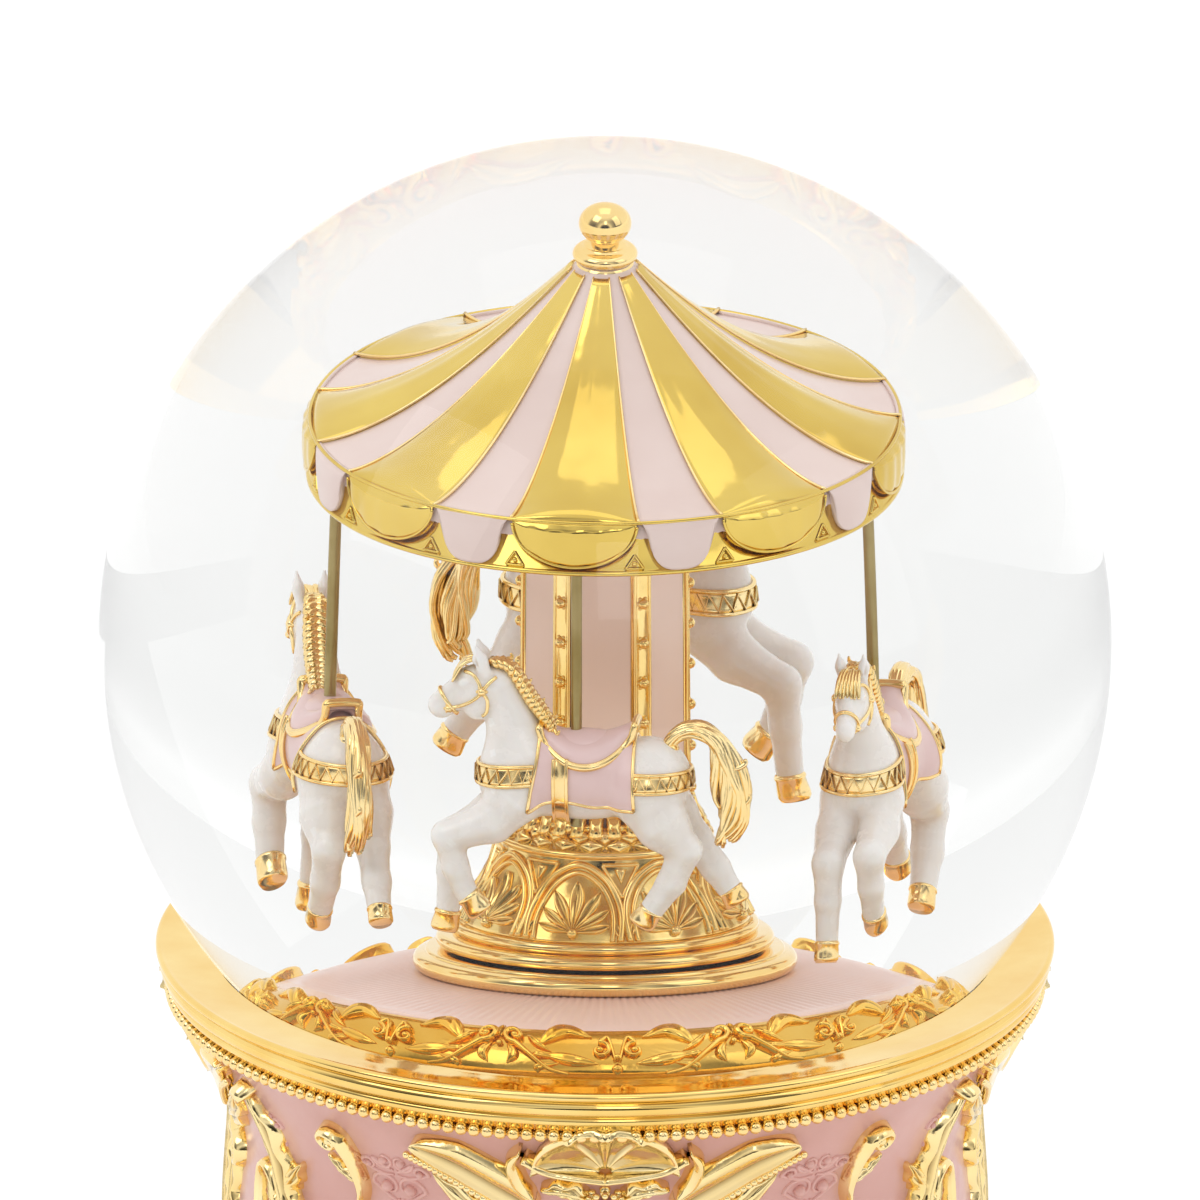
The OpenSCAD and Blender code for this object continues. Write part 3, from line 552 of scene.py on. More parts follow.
def sheet(shape, outer, inner, wrap=False):
    """A closed skin between an outer and an inner grid of points; wrap joins its first and last rows."""
    rows, columns = outer.shape[:2]
    ring = np.concatenate([outer, inner[:, ::-1]], axis=1)
    faces = grid_faces(rows, 2 * columns, wrap, True)
    if not wrap:
        for row in (0, (rows - 1) * 2 * columns):
            for j in range(columns - 1):
                cap = (row + j, row + j + 1, row + 2 * columns - 2 - j, row + 2 * columns - 1 - j)
                faces.append(cap if row == 0 else cap[::-1])
    shape.add(ring, faces)


def strap(shape, field, origins, directions, across, width, lift, sink, rows, rim):
    """A band laid on a field's surface, with raised edges."""
    t = np.linspace(-0.5, 0.5, rows)
    height = lift * (1 - rim + rim * (2 * np.abs(t)) ** 3)
    origins = origins[:, None, :] + across[:, None, :] * (t * width)[None, :, None]
    directions = np.broadcast_to(unit(directions)[:, None, :], origins.shape)
    skin = march(field, origins, directions)
    sheet(shape, skin + directions * height[None, :, None], skin - directions * sink)


# ---------------------------------------------------------------- horses

# A horse's own frame: x is ahead, y is away from the carousel's axis and z is up from the globe's centre.

NEAR_FORE = [(5.0, 1.5, -6.8), (6.6, 1.7, -8.6), (10.2, 1.7, -10.0), (9.6, 1.7, -12.6), (8.7, 1.7, -14.8)]
FAR_FORE = [(5.0, -1.5, -6.8), (6.8, -1.7, -8.8), (10.0, -1.7, -10.6), (10.2, -1.7, -13.6),
            (10.4, -1.7, -16.6)]
NEAR_HIND = [(-5.6, 1.3, -6.0), (-7.2, 1.6, -8.6), (-9.0, 1.7, -10.6), (-7.9, 1.7, -13.4),
             (-6.4, 1.7, -15.6)]
FAR_HIND = [(-5.6, -1.3, -6.0), (-7.4, -1.6, -8.4), (-9.3, -1.7, -10.4), (-11.0, -1.7, -12.8),
            (-12.1, -1.7, -14.5)]
FORE_RADII = (2.3, 1.75, 1.3, 1.05, 0.95)
HIND_RADII = (2.9, 2.15, 1.35, 1.15, 1.0)
HOOVES = [((8.6, 1.7, -14.9), (7.5, 1.7, -16.2)), ((10.4, -1.7, -16.9), (10.65, -1.7, -18.5)),
          ((-6.3, 1.7, -15.7), (-5.5, 1.7, -17.0)), ((-12.2, -1.7, -14.6), (-12.9, -1.7, -15.7))]


def horse_torso(p):
    """Distance to the barrel, chest, rump and neck."""
    body = smooth_min(blob(p, (-0.5, 0, -4.9), (6.5, 2.95, 3.65)),
                      blob(p, (4.6, 0, -5.2), (3.3, 2.75, 3.5)), 1.2)
    body = smooth_min(body, blob(p, (-5.9, 0, -5.0), (3.4, 2.95, 3.4)), 1.0)
    return smooth_min(body, bone(p, (4.4, 0, -3.0), (6.3, 0, 2.2), 2.6, 1.55, 0.78), 1.6)


def horse_ear(paired):
    """Distance to an ear, hollowed in front."""
    ear = bone(paired, (7.3, 0.75, 3.5), (7.75, 0.95, 4.7), 0.5, 0.62, 0.7)
    ear = smooth_min(ear, bone(paired, (7.75, 0.95, 4.7), (8.1, 1.0, 5.9), 0.55, 0.1, 0.7), 0.3)
    hollow = bone(paired, (8.1, 1.25, 4.2), (8.25, 1.3, 5.2), 0.28, 0.12)
    return -smooth_min(-ear, hollow, 0.2)


def horse_field(p):
    """Distance to the horse's skin."""
    paired = np.stack([p[..., 0], np.abs(p[..., 1]), p[..., 2]], axis=-1)
    body = horse_torso(p)
    skull = blob(p, (7.75, 0, 2.2), (2.0, 1.3, 1.9))
    cheek = blob(paired, (7.9, 0.55, 1.1), (1.35, 0.75, 1.55))
    muzzle = bone(p, (8.7, 0, 2.1), (10.9, 0, 0.55), 1.45, 1.1, 0.72)
    eye = blob(paired, (9.0, 0.95, 2.75), (0.45, 0.28, 0.3))
    for part, blend in ((skull, 0.6), (cheek, 0.5), (muzzle, 0.6), (eye, 0.25), (horse_ear(paired), 0.3)):
        body = smooth_min(body, part, blend)
    nostril = blob(paired, (11.75, 0.75, 0.75), (0.22, 0.16, 0.16))
    mouth = bone(paired, (10.4, 0.9, -0.25), (11.6, 0.75, -0.1), 0.07, 0.07)
    body = -smooth_min(-body, smooth_min(nostril, mouth, 0.1), 0.12)
    for joints, radii in ((NEAR_FORE, FORE_RADII), (FAR_FORE, FORE_RADII),
                          (NEAR_HIND, HIND_RADII), (FAR_HIND, HIND_RADII)):
        leg = bone(p, joints[0], joints[1], radii[0], radii[1], 0.8)
        for i in range(1, len(joints) - 1):
            leg = smooth_min(leg, bone(p, joints[i], joints[i + 1], radii[i], radii[i + 1], 0.95), 0.5)
        body = smooth_min(body, leg, 0.7)
    return body


def make_hooves(shape):
    """Four flat-soled hooves, each with a coronet and a longer toe."""
    outline = [(0.92, -0.12), (1.08, 0.08), (1.1, 0.3), (1.04, 1.0), (1.12, 1.06), (1.12, 1.18),
               (0.98, 1.3), (0.55, 1.32)]
    sides = 28
    angles = np.arange(sides) * TAU / sides
    side = np.array([0, 1.0, 0])
    for start, end in HOOVES:
        start, end = np.array(start), np.array(end)
        up = unit(start - end)
        ahead = np.cross(side, up)
        length = np.linalg.norm(start - end) / 1.25
        rings = []
        for r, h in outline:
            toe = 1 + 0.16 * np.maximum(np.cos(angles), 0) ** 2 * max(0.0, 1 - h)
            round_it = (np.cos(angles) * toe)[:, None] * ahead + np.sin(angles)[:, None] * side * 0.92
            rings.append(end + h * length * up + r * 0.98 * round_it)
        faces = grid_faces(len(rings), sides, False, True)
        faces += [tuple(range(sides - 1, -1, -1)), tuple((len(rings) - 1) * sides + j for j in range(sides))]
        shape.add(rings, faces)


def strand(shape, points, thick, thin, count=26, sides=7, flatten=0.8):
    """A lock of hair that tapers from thick to thin."""
    path = smooth_curve(points, count)
    t = np.linspace(0, 1, count)
    radius = thin + (thick - thin) * np.sin(np.pi * np.clip(t * 0.86 + 0.1, 0, 1)) ** 0.6
    tube(shape, path, radius, sides, flatten=flatten)


def make_tail(shape):
    """An arched tail of wavy locks that spread below the arch and flick at their ends."""
    spine = smooth_curve([(-7.3, 0, -2.5), (-8.3, 0, -1.25), (-9.9, 0, -0.85), (-11.5, 0, -1.9),
                          (-12.2, 0, -3.9), (-12.6, 0, -6.2), (-12.3, 0, -8.6), (-11.7, 0, -9.9)], 30)
    along = np.linspace(0, 1, len(spine))
    tangent = unit(np.gradient(spine, axis=0))
    normal = np.stack([-tangent[:, 2], 0 * along, tangent[:, 0]], axis=-1)
    spread = 0.42 + 0.35 * along + 1.1 * np.exp(-((along - 0.76) / 0.22) ** 2)
    locks = 28
    for i in range(locks):
        a = math.sin(i * 2.4) * (0.35 + 0.65 * ((i * 7) % locks) / (locks - 1))
        b = math.cos(i * 2.4) * 0.75
        wave = 0.3 * np.sin(along * 17 + i * 0.9) * along
        path = spine + normal * (a * spread + wave)[:, None]
        path[:, 1] += b * (0.45 + 0.55 * along) + 0.12 * np.cos(along * 13 + i)
        cut = 30 - (i * 5) % 8
        reach = path[:cut]
        flick = reach[-1] + tangent[cut - 1] * 0.5 - normal[cut - 1] * 0.45 * (1 if a > 0 else -0.6)
        strand(shape, np.vstack([reach[::3], flick]), 0.4, 0.12, 30)
    for root, tip in (((-12.4, 0.35, -3.6), (-13.75, 0.3, -3.6)), ((-13.0, 0.3, -6.8), (-14.0, 0.25, -6.6))):
        root, tip = np.array(root), np.array(tip)
        strand(shape, [root, (root + tip) / 2 + (0, 0.1, -0.35), tip, tip + (-0.05, 0, 0.4)], 0.3, 0.14, 14)
    ball(shape, (-7.6, 0, -2.5), 0.75, 8, 14, (1.0, 1.1, 0.8))


def make_mane(shape):
    """A plaited mane along the crest, a tuft behind the ears and ringlets on the forehead."""
    crest = smooth_curve([(6.9, 0, 4.25), (5.5, 0.1, 3.9), (4.45, 0.2, 2.5), (3.6, 0.25, 1.2),
                          (2.75, 0.3, 0.1), (2.1, 0.35, -1.0), (2.0, 0.4, -1.9)], 90)
    t = np.linspace(0, 1, len(crest))
    tangent = unit(np.gradient(crest, axis=0))
    side = np.array([0, 1.0, 0])
    out = unit(np.cross(tangent, side))
    out = out * np.sign(out[:, 2:3] + 1e-9)
    size = np.sin(np.pi * np.clip(t * 0.9 + 0.08, 0, 1)) ** 0.4
    for k in range(3):
        turn = t * 40 + k * TAU / 3
        path = (crest + side * (np.sin(turn) * 0.72 * size)[:, None]
                + out * (np.sin(2 * turn) * 0.2 * size + 0.12)[:, None])
        tube(shape, path, 0.14 + 0.3 * size, 7, flatten=0.8)
    for i in range(9):
        j = 8 + i * 9
        sway = 1 if i % 2 else -1
        root = crest[j] + side * 0.3 * sway
        tip = root + side * 0.55 * sway + out[j] * 0.45 + tangent[j] * 0.8
        strand(shape, [root, (root + tip) / 2 + out[j] * 0.15, tip, tip + out[j] * 0.35 - tangent[j] * 0.2],
               0.2, 0.07, 12, 6)
    for i in range(7):
        y = (i - 3) * 0.26
        sag = 0.25 * math.sin(i * 2.1)
        strand(shape, [(7.0, y * 0.5, 4.2), (8.3, y * 0.8, 4.55 + sag * 0.3), (9.2, y, 4.15),
                       (9.75 + sag * 0.2, y * 1.15, 3.3), (10.0, y * 1.2 + 0.1 * sag, 2.75)],
               0.2, 0.08, 20, 6)


def on_head(points, side):
    """Points in the horse's side view, moved onto the skin of one side."""
    points = np.array([(x, 0.0, z) for x, z in points])
    return march(horse_field, points, np.array([0, side, 0.0]), 4.0)


def make_bridle(shape):
    """Noseband, cheek straps, browband, headstall and throat latch, with a rosette at each joint."""
    angles = np.arange(40) * TAU / 40
    up = unit(np.array([1.55, 0, 2.2]))
    direction = np.cos(angles)[:, None] * up + np.sin(angles)[:, None] * np.array([0, 1.0, 0])
    skin = march(horse_field, np.array([10.35, 0, 0.95]), direction, 5.0)
    tube(shape, skin + direction * 0.06, 0.17, 8, closed=True)
    for side in (1, -1):
        offset = np.array([0, 0.08 * side, 0])
        for line in ([(10.3, 0.45), (9.2, 0.8), (8.1, 1.5), (7.55, 2.1)],
                     [(7.55, 2.1), (7.85, 2.9), (8.35, 3.45), (9.0, 3.6)],
                     [(7.55, 2.1), (7.0, 2.8), (6.4, 3.3)],
                     [(7.55, 2.1), (7.1, 1.4), (7.15, 0.4), (7.5, 0.0)]):
            path = on_head(smooth_curve([(x, 0, z) for x, z in line], 16)[:, [0, 2]], side) + offset
            tube(shape, path, 0.15, 8)
        for x, z, r in ((10.3, 0.45, 0.3), (7.55, 2.1, 0.36)):
            centre = on_head([(x, z)], side)[0]
            ball(shape, centre + offset, r, 8, 12)
            for k in range(6):
                a = k * TAU / 6
                spot = on_head([(x + r * math.cos(a), z + r * math.sin(a))], side)[0]
                ball(shape, spot, r * 0.42, 6, 8)


def rails(field, origins, directions, across, offset, lift):
    """A line that runs along a strap at offset from its middle."""
    return march(field, origins + across * offset, directions) + unit(directions) * lift


def make_harness(shape):
    """Breast and rump bands: a flat strap between two rolled edges, filled with a zigzag."""
    for centre, start, end, width, droop in (((2.8, 0, -4.45), -1.42, 1.42, 1.55, 0.35),
                                             ((-4.4, 0, -4.75), -1.4, 1.4, 1.45, 0.1)):
        ahead = 1 if centre[0] > 0 else -1
        angles = np.linspace(start, end, 72)
        directions = np.stack([ahead * np.cos(angles), np.sin(angles), 0 * angles], axis=-1)
        sag = -droop * np.maximum(np.cos(angles), 0) ** 2
        origins = np.array(centre) + np.stack([0 * angles, 0 * angles, sag], axis=-1)
        across = np.broadcast_to(np.array([0, 0, 1.0]), origins.shape)
        strap(shape, horse_field, origins, directions, across, width, 0.16, 0.4, 5, 0.0)
        for edge in (-0.5, 0.5):
            tube(shape, rails(horse_field, origins, directions, across, edge * width, 0.14), 0.17, 8)
        steps = 27
        zig = np.linspace(start * 0.98, end * 0.98, steps)
        aim = np.stack([ahead * np.cos(zig), np.sin(zig), 0 * zig], axis=-1)
        sag = -droop * np.maximum(np.cos(zig), 0) ** 2
        sway = 0.36 * width * np.where(np.arange(steps) % 2, 1, -1)
        base = np.array(centre) + np.stack([0 * zig, 0 * zig, sag + sway], axis=-1)
        tube(shape, march(horse_field, base, aim) + aim * 0.25, 0.12, 6)


def saddle_edge(a):
    """The saddle's rim seen from the side; a runs from 0 at the cantle to 1 at the pommel."""
    x = -4.85 + 7.7 * a
    depth = math.sin(math.pi * a) ** 0.55
    return x, -0.45 - 0.35 * a - (3.0 - 0.1 * a) * depth


def make_saddle_cloth(cloth, trim):
    """The cloth from one flank over the back to the other, its rolled border and the girth."""
    rows, columns = 44, 36
    flank = 2.22
    theta = np.linspace(-flank, flank, rows)
    k = np.linspace(0, 1, columns)
    low = (np.abs(theta) / flank) ** 2
    front = 2.75 + 0.95 * low
    rear = -4.85 - 0.2 * low
    x = front[:, None] * (1 - k) + rear[:, None] * k
    scallop = 1 + 0.035 * np.cos(k * TAU * 1.5) * (np.abs(theta)[:, None] > 2.0)
    angle = theta[:, None] * scallop
    origins = np.stack([x, 0 * x, 0 * x - 4.75], axis=-1)
    directions = np.stack([0 * x, np.sin(angle), np.cos(angle)], axis=-1)
    skin = march(horse_field, origins, directions)
    fold = 0.04 * np.sin(k * 9)[None, :] * low[:, None]
    top = skin + directions * (0.2 + fold)[..., None]
    sheet(cloth, top, skin - directions * 0.3)
    for edge in (top[:, 0], top[:, -1], top[0], top[-1]):
        tube(trim, edge, 0.15, 8)
    girth_x, girth_width = 1.035, 1.15
    angles = np.linspace(1.0, TAU - 1.0, 80)
    origins = np.stack([girth_x + 0 * angles, 0 * angles, 0 * angles - 4.75], axis=-1)
    directions = np.stack([0 * angles, np.sin(angles), np.cos(angles)], axis=-1)
    across = np.broadcast_to(np.array([1.0, 0, 0]), origins.shape)
    strap(trim, horse_field, origins, directions, across, girth_width, 0.46, 0.3, 7, 0.35)
    for edge in (-0.55, 0.55):
        tube(trim, rails(horse_field, origins, directions, across, edge, 0.4), 0.15, 8)


def make_saddle(seat, trim):
    """The padded seat with its raised cantle and pommel, and the rolled rim around it."""
    columns, rows = 40, 25
    a = np.linspace(0, 1, columns)
    b = np.linspace(-1, 1, rows)
    grid = np.zeros((columns, rows, 3))
    for i, ai in enumerate(a):
        x, rim_z = saddle_edge(ai)
        half = march(horse_field, np.array([[x, 0, min(rim_z, -2.2)]]), np.array([[0, 1.0, 0]]))[0][1] + 0.28
        half = half * (0.42 + 0.58 * math.sin(math.pi * np.clip(ai, 0.04, 0.96)) ** 0.35)
        top_z = -0.28 * (1 - ai) - 0.62 * ai - 1.05 * math.sin(math.pi * ai) ** 1.2
        top_z = max(top_z, rim_z + 0.02)
        grid[i, :, 0] = x
        grid[i, :, 1] = half * np.sin(b * math.pi / 2)
        grid[i, :, 2] = rim_z + (top_z - rim_z) * np.cos(b * math.pi / 2) ** 0.75
    inner = grid.copy()
    inner[..., 1] *= 0.8
    inner[..., 2] -= 0.5
    sheet(seat, grid, inner)
    loop = np.vstack([grid[:, -1], grid[-1, ::-1][1:-1], grid[::-1, 0], grid[0, 1:-1]])
    tube(trim, loop, 0.32, 10, closed=True)
    tube(trim, loop + np.array([0, 0, 0.24]) + unit(loop * np.array([0, 1, 0])) * 0.05, 0.13, 6, closed=True)


def stand_horse(shape, station):
    """A copy of a shape in a horse's own frame, moved to a station on the carousel."""
    angle = REST_TURN + FRONT + station * TAU / HORSES
    pole = around(POLE_ORBIT, angle, GLOBE_Z + HORSE_LIFT[station])
    angle += HORSE_YAW[station]
    out = np.array([math.cos(angle), math.sin(angle), 0])
    ahead = np.array([math.sin(angle), -math.cos(angle), 0])
    return shape.moved(np.array([ahead, out, [0, 0, 1.0]]), pole)


def make_horses():
    """Four galloping horses, alike, each of nine pieces."""
    body = Shape()
    step = 0.2
    points, quads = skinned(horse_field, (-14.2, -4.4, -19.2), (13.4, 4.4, 6.6), step)
    body.add(points, quads.tolist())
    names = ("hooves", "tail", "mane", "bridle", "harness", "cloth", "seat", "trim")
    pieces = {name: Shape() for name in names}
    make_hooves(pieces["hooves"])
    make_tail(pieces["tail"])
    make_mane(pieces["mane"])
    make_bridle(pieces["bridle"])
    make_harness(pieces["harness"])
    make_saddle_cloth(pieces["cloth"], pieces["trim"])
    make_saddle(pieces["seat"], pieces["trim"])
    for i in range(HORSES):
        name = "horse_%d" % (i + 1)
        stand_horse(body, i).build(name + "_body", HORSE_WHITE, "carousel", "horse_white", [name])
        for part, shape in pieces.items():
            look = (SADDLE_PINK, "pale_pink") if part in ("cloth", "seat") else (GOLD_FINE, "gold_plate")
            stand_horse(shape, i).build(name + "_" + part, look[0], "carousel", look[1])


# ---------------------------------------------------------------- relief on turned surfaces

class Skin:
    """A turned surface that carries relief: x runs round it, y along its outline and h stands off it."""

    def __init__(self, outline):
        self.outline = np.asarray(outline, float)
        steps = np.linalg.norm(np.diff(self.outline, axis=0), axis=1)
        self.s = np.concatenate([[0], np.cumsum(steps)])
        tangent = unit(np.gradient(self.outline, self.s, axis=0))
        self.normal = np.stack([tangent[:, 1], -tangent[:, 0]], axis=-1)

    def along(self, z):
        """The y at which the outline reaches height z."""
        order = np.argsort(self.outline[:, 1])
        return np.interp(z, self.outline[order, 1], self.s[order])

    def at(self, x, y, h, turn=0.0):
        """Points that stand h off the surface."""
        r, z = (np.interp(y, self.s, self.outline[:, i]) for i in (0, 1))
        nr, nz = (np.interp(y, self.s, self.normal[:, i]) for i in (0, 1))
        return around(r + h * nr, turn + x / r, z + h * nz)

    def lie(self, *points):
        """Points given by x and a height z, as points (x, y) of the skin."""
        return [(x, self.along(z)) for x, z in points]


def taper(n):
    """Widths along a stroke: full in the middle, narrower at its ends."""
    t = np.linspace(0, 1, n)
    return np.maximum(np.sin(np.pi * t) ** 0.6, 0.25 * (1 - t) + 0.05 * t)


class Carver:
    """Lays relief on a skin at one turn about the axis; side -1 mirrors all it lays."""

    def __init__(self, shape, skin, turn, side=1):
        self.shape, self.skin, self.turn, self.side = shape, skin, turn, side

    def stroke(self, path, half, height, profile=None, columns=7, sink=0.3):
        """A raised stroke along a path. profile(u, t) shapes it: u runs across and t along."""
        xy = np.asarray(path, float) * (self.side, 1)
        n = len(xy)
        tangent = unit(np.gradient(xy, axis=0))
        aside = np.stack([-tangent[:, 1], tangent[:, 0]], axis=-1)
        u = np.linspace(-1, 1, columns)[None, :]
        t = np.linspace(0, 1, n)[:, None]
        half = np.broadcast_to(np.asarray(half, float), (n,))[:, None]
        height = np.broadcast_to(np.asarray(height, float), (n,))[:, None]
        rise = height * (profile(u, t) if profile else dome(u))
        x = xy[:, :1] + aside[:, :1] * u * half
        y = xy[:, 1:] + aside[:, 1:] * u * half
        sheet(self.shape, self.skin.at(x, y, rise, self.turn), self.skin.at(x, y, -sink + 0 * x, self.turn))

    def leaf(self, points, half, height, lobes=3, columns=13, count=36):
        """A lobed leaf with a grooved midrib and veins, raised towards its edges."""
        t = np.linspace(0, 1, count)
        outline = np.sin(np.pi * t ** 0.75) ** 0.65
        notch = 1 - 0.3 * np.abs(np.sin(lobes * np.pi * t)) ** 3 * (t > 0.08)
        width = half * np.maximum(outline * notch, 0.06)

        def carved(u, s):
            rib = np.exp(-(u / 0.16) ** 2)
            groove = np.exp(-((np.abs(u) - 0.3) / 0.12) ** 2)
            veins = 0.16 * np.cos(lobes * TAU * s + np.abs(u) * 4.0)
            return dome(u, 3) * (0.62 + 0.30 * np.abs(u) + veins * np.abs(u) + 0.28 * rib - 0.2 * groove)

        rise = height * (0.55 + 0.45 * np.sin(np.pi * t) ** 0.5)
        self.stroke(smooth_curve(points, count), width, rise, carved, columns)

    def swell(self, points, half, height):
        """A plain swelling leaf with a faint middle groove."""
        count = 24
        width = half * np.maximum(np.sin(np.pi * np.linspace(0, 1, count) ** 1.1) ** 0.7, 0.08)
        self.stroke(smooth_curve(points, count), width, height * np.maximum(width / half, 0.3),
                    lambda u, s: dome(u) * (1 - 0.25 * np.exp(-(u / 0.2) ** 2)), 9)

    def petal(self, start, angle, length, half, height):
        """A straight petal with a hollow middle and a rolled edge."""
        t = np.linspace(0, 1, 16)
        path = np.array(start) + length * np.outer(t, [math.sin(angle), math.cos(angle)])
        width = half * np.maximum(np.sin(np.pi * t ** 1.5) ** 0.8, 0.12)
        self.stroke(path, width, height, lambda u, s: dome(u, 4) * (1 - 0.7 * np.exp(-(u / 0.5) ** 2)), 9)

    def scroll(self, centre, radius, turns, start, hand, half, height, lead=()):
        """A volute: a stroke that follows lead and then winds into its centre, ending in a bead."""
        n = int(20 * turns) + 6
        k = np.linspace(0, 1, n)
        angle = start + hand * k * turns * TAU
        r = radius * (1 - k) ** 0.8 + 0.12 * radius
        path = np.array(centre) + np.stack([r * np.cos(angle), r * np.sin(angle)], axis=-1)
        grow = np.linspace(1, 0.5, n)
        if len(lead):
            path = np.vstack([smooth_curve(np.vstack([lead, path[0]]), 24)[:-1], path])
            grow = np.concatenate([np.linspace(0.45, 1, len(path) - n), grow])
        self.stroke(path, half * grow, height * (0.6 + 0.4 * grow))
        self.bead(*centre, height * 0.55, radius * 0.42, 8, 12)

    def bead(self, x, y, h, radius, rows=6, columns=10):
        """A small ball whose centre stands h off the skin."""
        ball(self.shape, self.skin.at(self.side * x, y, h, self.turn), radius, rows, columns)

    def triangle(self, corners, half, height, count, sink):
        """A raised triangle of three straight strokes."""
        for k in range(3):
            path = np.linspace(corners[k], corners[(k + 1) % 3], count)
            self.stroke(path, half, height, columns=5, sink=sink)


def arc_points(centre, radius, start, end, count):
    """Points on an arc of an outline, angles in degrees."""
    return [(centre[0] + radius * math.cos(math.radians(a)), centre[1] + radius * math.sin(math.radians(a)))
            for a in np.linspace(start, end, count)]


# ---------------------------------------------------------------- canopy

EAVE_Z = GLOBE_Z + 17.1
VALANCE_Z = GLOBE_Z + 12.5
ROOF_TOP_Z = GLOBE_Z + 32.0
CANOPY_R = 22.7
ROOF_NECK_R = 2.08
ROOF_HOLLOW = 1.7
PANELS = 8
PANEL_HALF = math.radians(13.5)


def roof_point(t, angle, lift=0.0, off=0.0):
    """A point of the tent roof; t runs from 0 at the eave to 1 at the neck."""
    r = CANOPY_R - (CANOPY_R - ROOF_NECK_R) * t + off
    z = EAVE_Z + (ROOF_TOP_Z - EAVE_Z) * np.clip(t, 0, 1) ** ROOF_HOLLOW + lift
    return around(r, angle, z)


def panel_turn(i):
    """The turn of gold panel i and of the scallop below it."""
    return REST_TURN + FRONT + i * TAU / PANELS


def make_roof():
    """The pink roof shell with an eave roll, carried down into the hanging pink tongues."""
    roof = Shape()
    t = np.linspace(0, 1, 48)
    outer = roof_point(t, 0 * t, 0.0, -0.15)[:, [0, 2]]
    inner = roof_point(t, 0 * t, -0.8, -0.75)[:, [0, 2]]
    inner[:, 0] = np.maximum(inner[:, 0], 0.5)
    skirt = [(CANOPY_R - 0.9, VALANCE_Z + 0.5), (CANOPY_R - 0.35, VALANCE_Z + 0.5)]
    lathe(roof, np.vstack([skirt, outer, inner[::-1]]), 192)
    roof.build("canopy_roof_shell", PALE_PINK, "carousel", "pale_pink", ["canopy_roof"])
    tongues = Shape()
    half_stripe = math.pi / PANELS - PANEL_HALF
    u = np.linspace(-1, 1, 21)[None, :]
    v = np.linspace(0, 1, 22)[:, None]
    drop = 4.15 * dome(u, 3.2) * v
    shoulder = 0.45 * (1 - np.minimum(v * 5, 1)) ** 2
    puff = 0.3 * dome(u) * np.sin(np.pi * (0.15 + 0.8 * v))
    radius = CANOPY_R + 0.12 - shoulder * 0.5 + puff
    shrink = (CANOPY_R - 0.3) / radius
    for i in range(PANELS):
        angle = panel_turn(i) + math.pi / PANELS + u * half_stripe * (1 - 0.2 * v ** 0.8)
        outer = around(radius, angle, EAVE_Z + 0.15 * (1 - v) - drop)
        sheet(tongues, outer, outer * np.stack([shrink, shrink, 1 + 0 * shrink], axis=-1))
    tongues.build("canopy_tongues", PALE_PINK, "carousel", "pale_pink", outward=True)


def gold_panel(panels, seams, turn, i):
    """One billowed panel and the seams along its two edges."""
    t = np.linspace(0, 0.97, 44)[:, None]
    a = np.linspace(-1, 1, 21)[None, :]
    crown = 1 - a ** 2
    billow = 0.9 * crown * np.sin(np.pi * np.clip(t, 1e-6, 1) ** 0.42) * (1 - t) ** 0.5
    ripple = 0.05 * np.sin(9 * a + 3 * i) * np.sin(np.pi * t) * crown
    flat = np.cos(PANEL_HALF) / np.cos(a * PANEL_HALF) - 1
    chord = flat * 0.8 * CANOPY_R * (1 - np.minimum(t * 4, 1)) ** 2
    angle = turn + a * PANEL_HALF
    away = around(1.0, angle, 0.0) * (chord[..., None] * 0.5 + 0.1)
    sheet(panels, roof_point(t + 0 * a, angle, 0.14 + billow + ripple, -0.02) + away,
          roof_point(t + 0 * a, angle, -0.3, -0.25))
    line = np.linspace(-0.005, 0.97, 50)
    for side in (-1, 1):
        edge = roof_point(line, turn + side * PANEL_HALF + 0 * line, 0.2, -0.05)
        tube(seams, edge, 0.07 + 0.07 * (1 - line), 6)


def scallop(panels, band, skin, turn):
    """One fluted scallop with a rolled rim, and a beaded triangle on the band at each end."""
    v = np.linspace(0, 1, 20)[:, None]
    u = np.linspace(-1, 1, 33)[None, :]
    wide = PANEL_HALF * 0.98
    swell = 0.2 + 0.42 * dome(v) * (1 - u ** 4) + 0.05 * np.cos(u * 16)
    radius = CANOPY_R - 0.1 + swell * (0.35 + 0.65 * np.minimum(v * 6, 1))
    angle = turn + u * wide + 0 * v
    z = EAVE_Z + 0.02 - 3.75 * dome(u) * v
    sheet(panels, around(radius, angle, z), around(CANOPY_R - 0.3, angle, z))
    w = np.sin(np.linspace(-1.5, 1.5, 46))
    tube(band, around(CANOPY_R + 0.14, turn + w * wide, EAVE_Z - 3.8 * dome(w)), 0.13, 7)
    carver = Carver(band, skin, turn)
    low = 0.65
    for side in (-1, 1):
        x = side * PANEL_HALF * 0.93 * CANOPY_R
        carver.triangle([(x - 0.75, low), (x + 0.75, low), (x, low + 1.15)], 0.12, 0.2, 8, 0.15)
        carver.bead(x, low + 0.42, 0.05, 0.22)


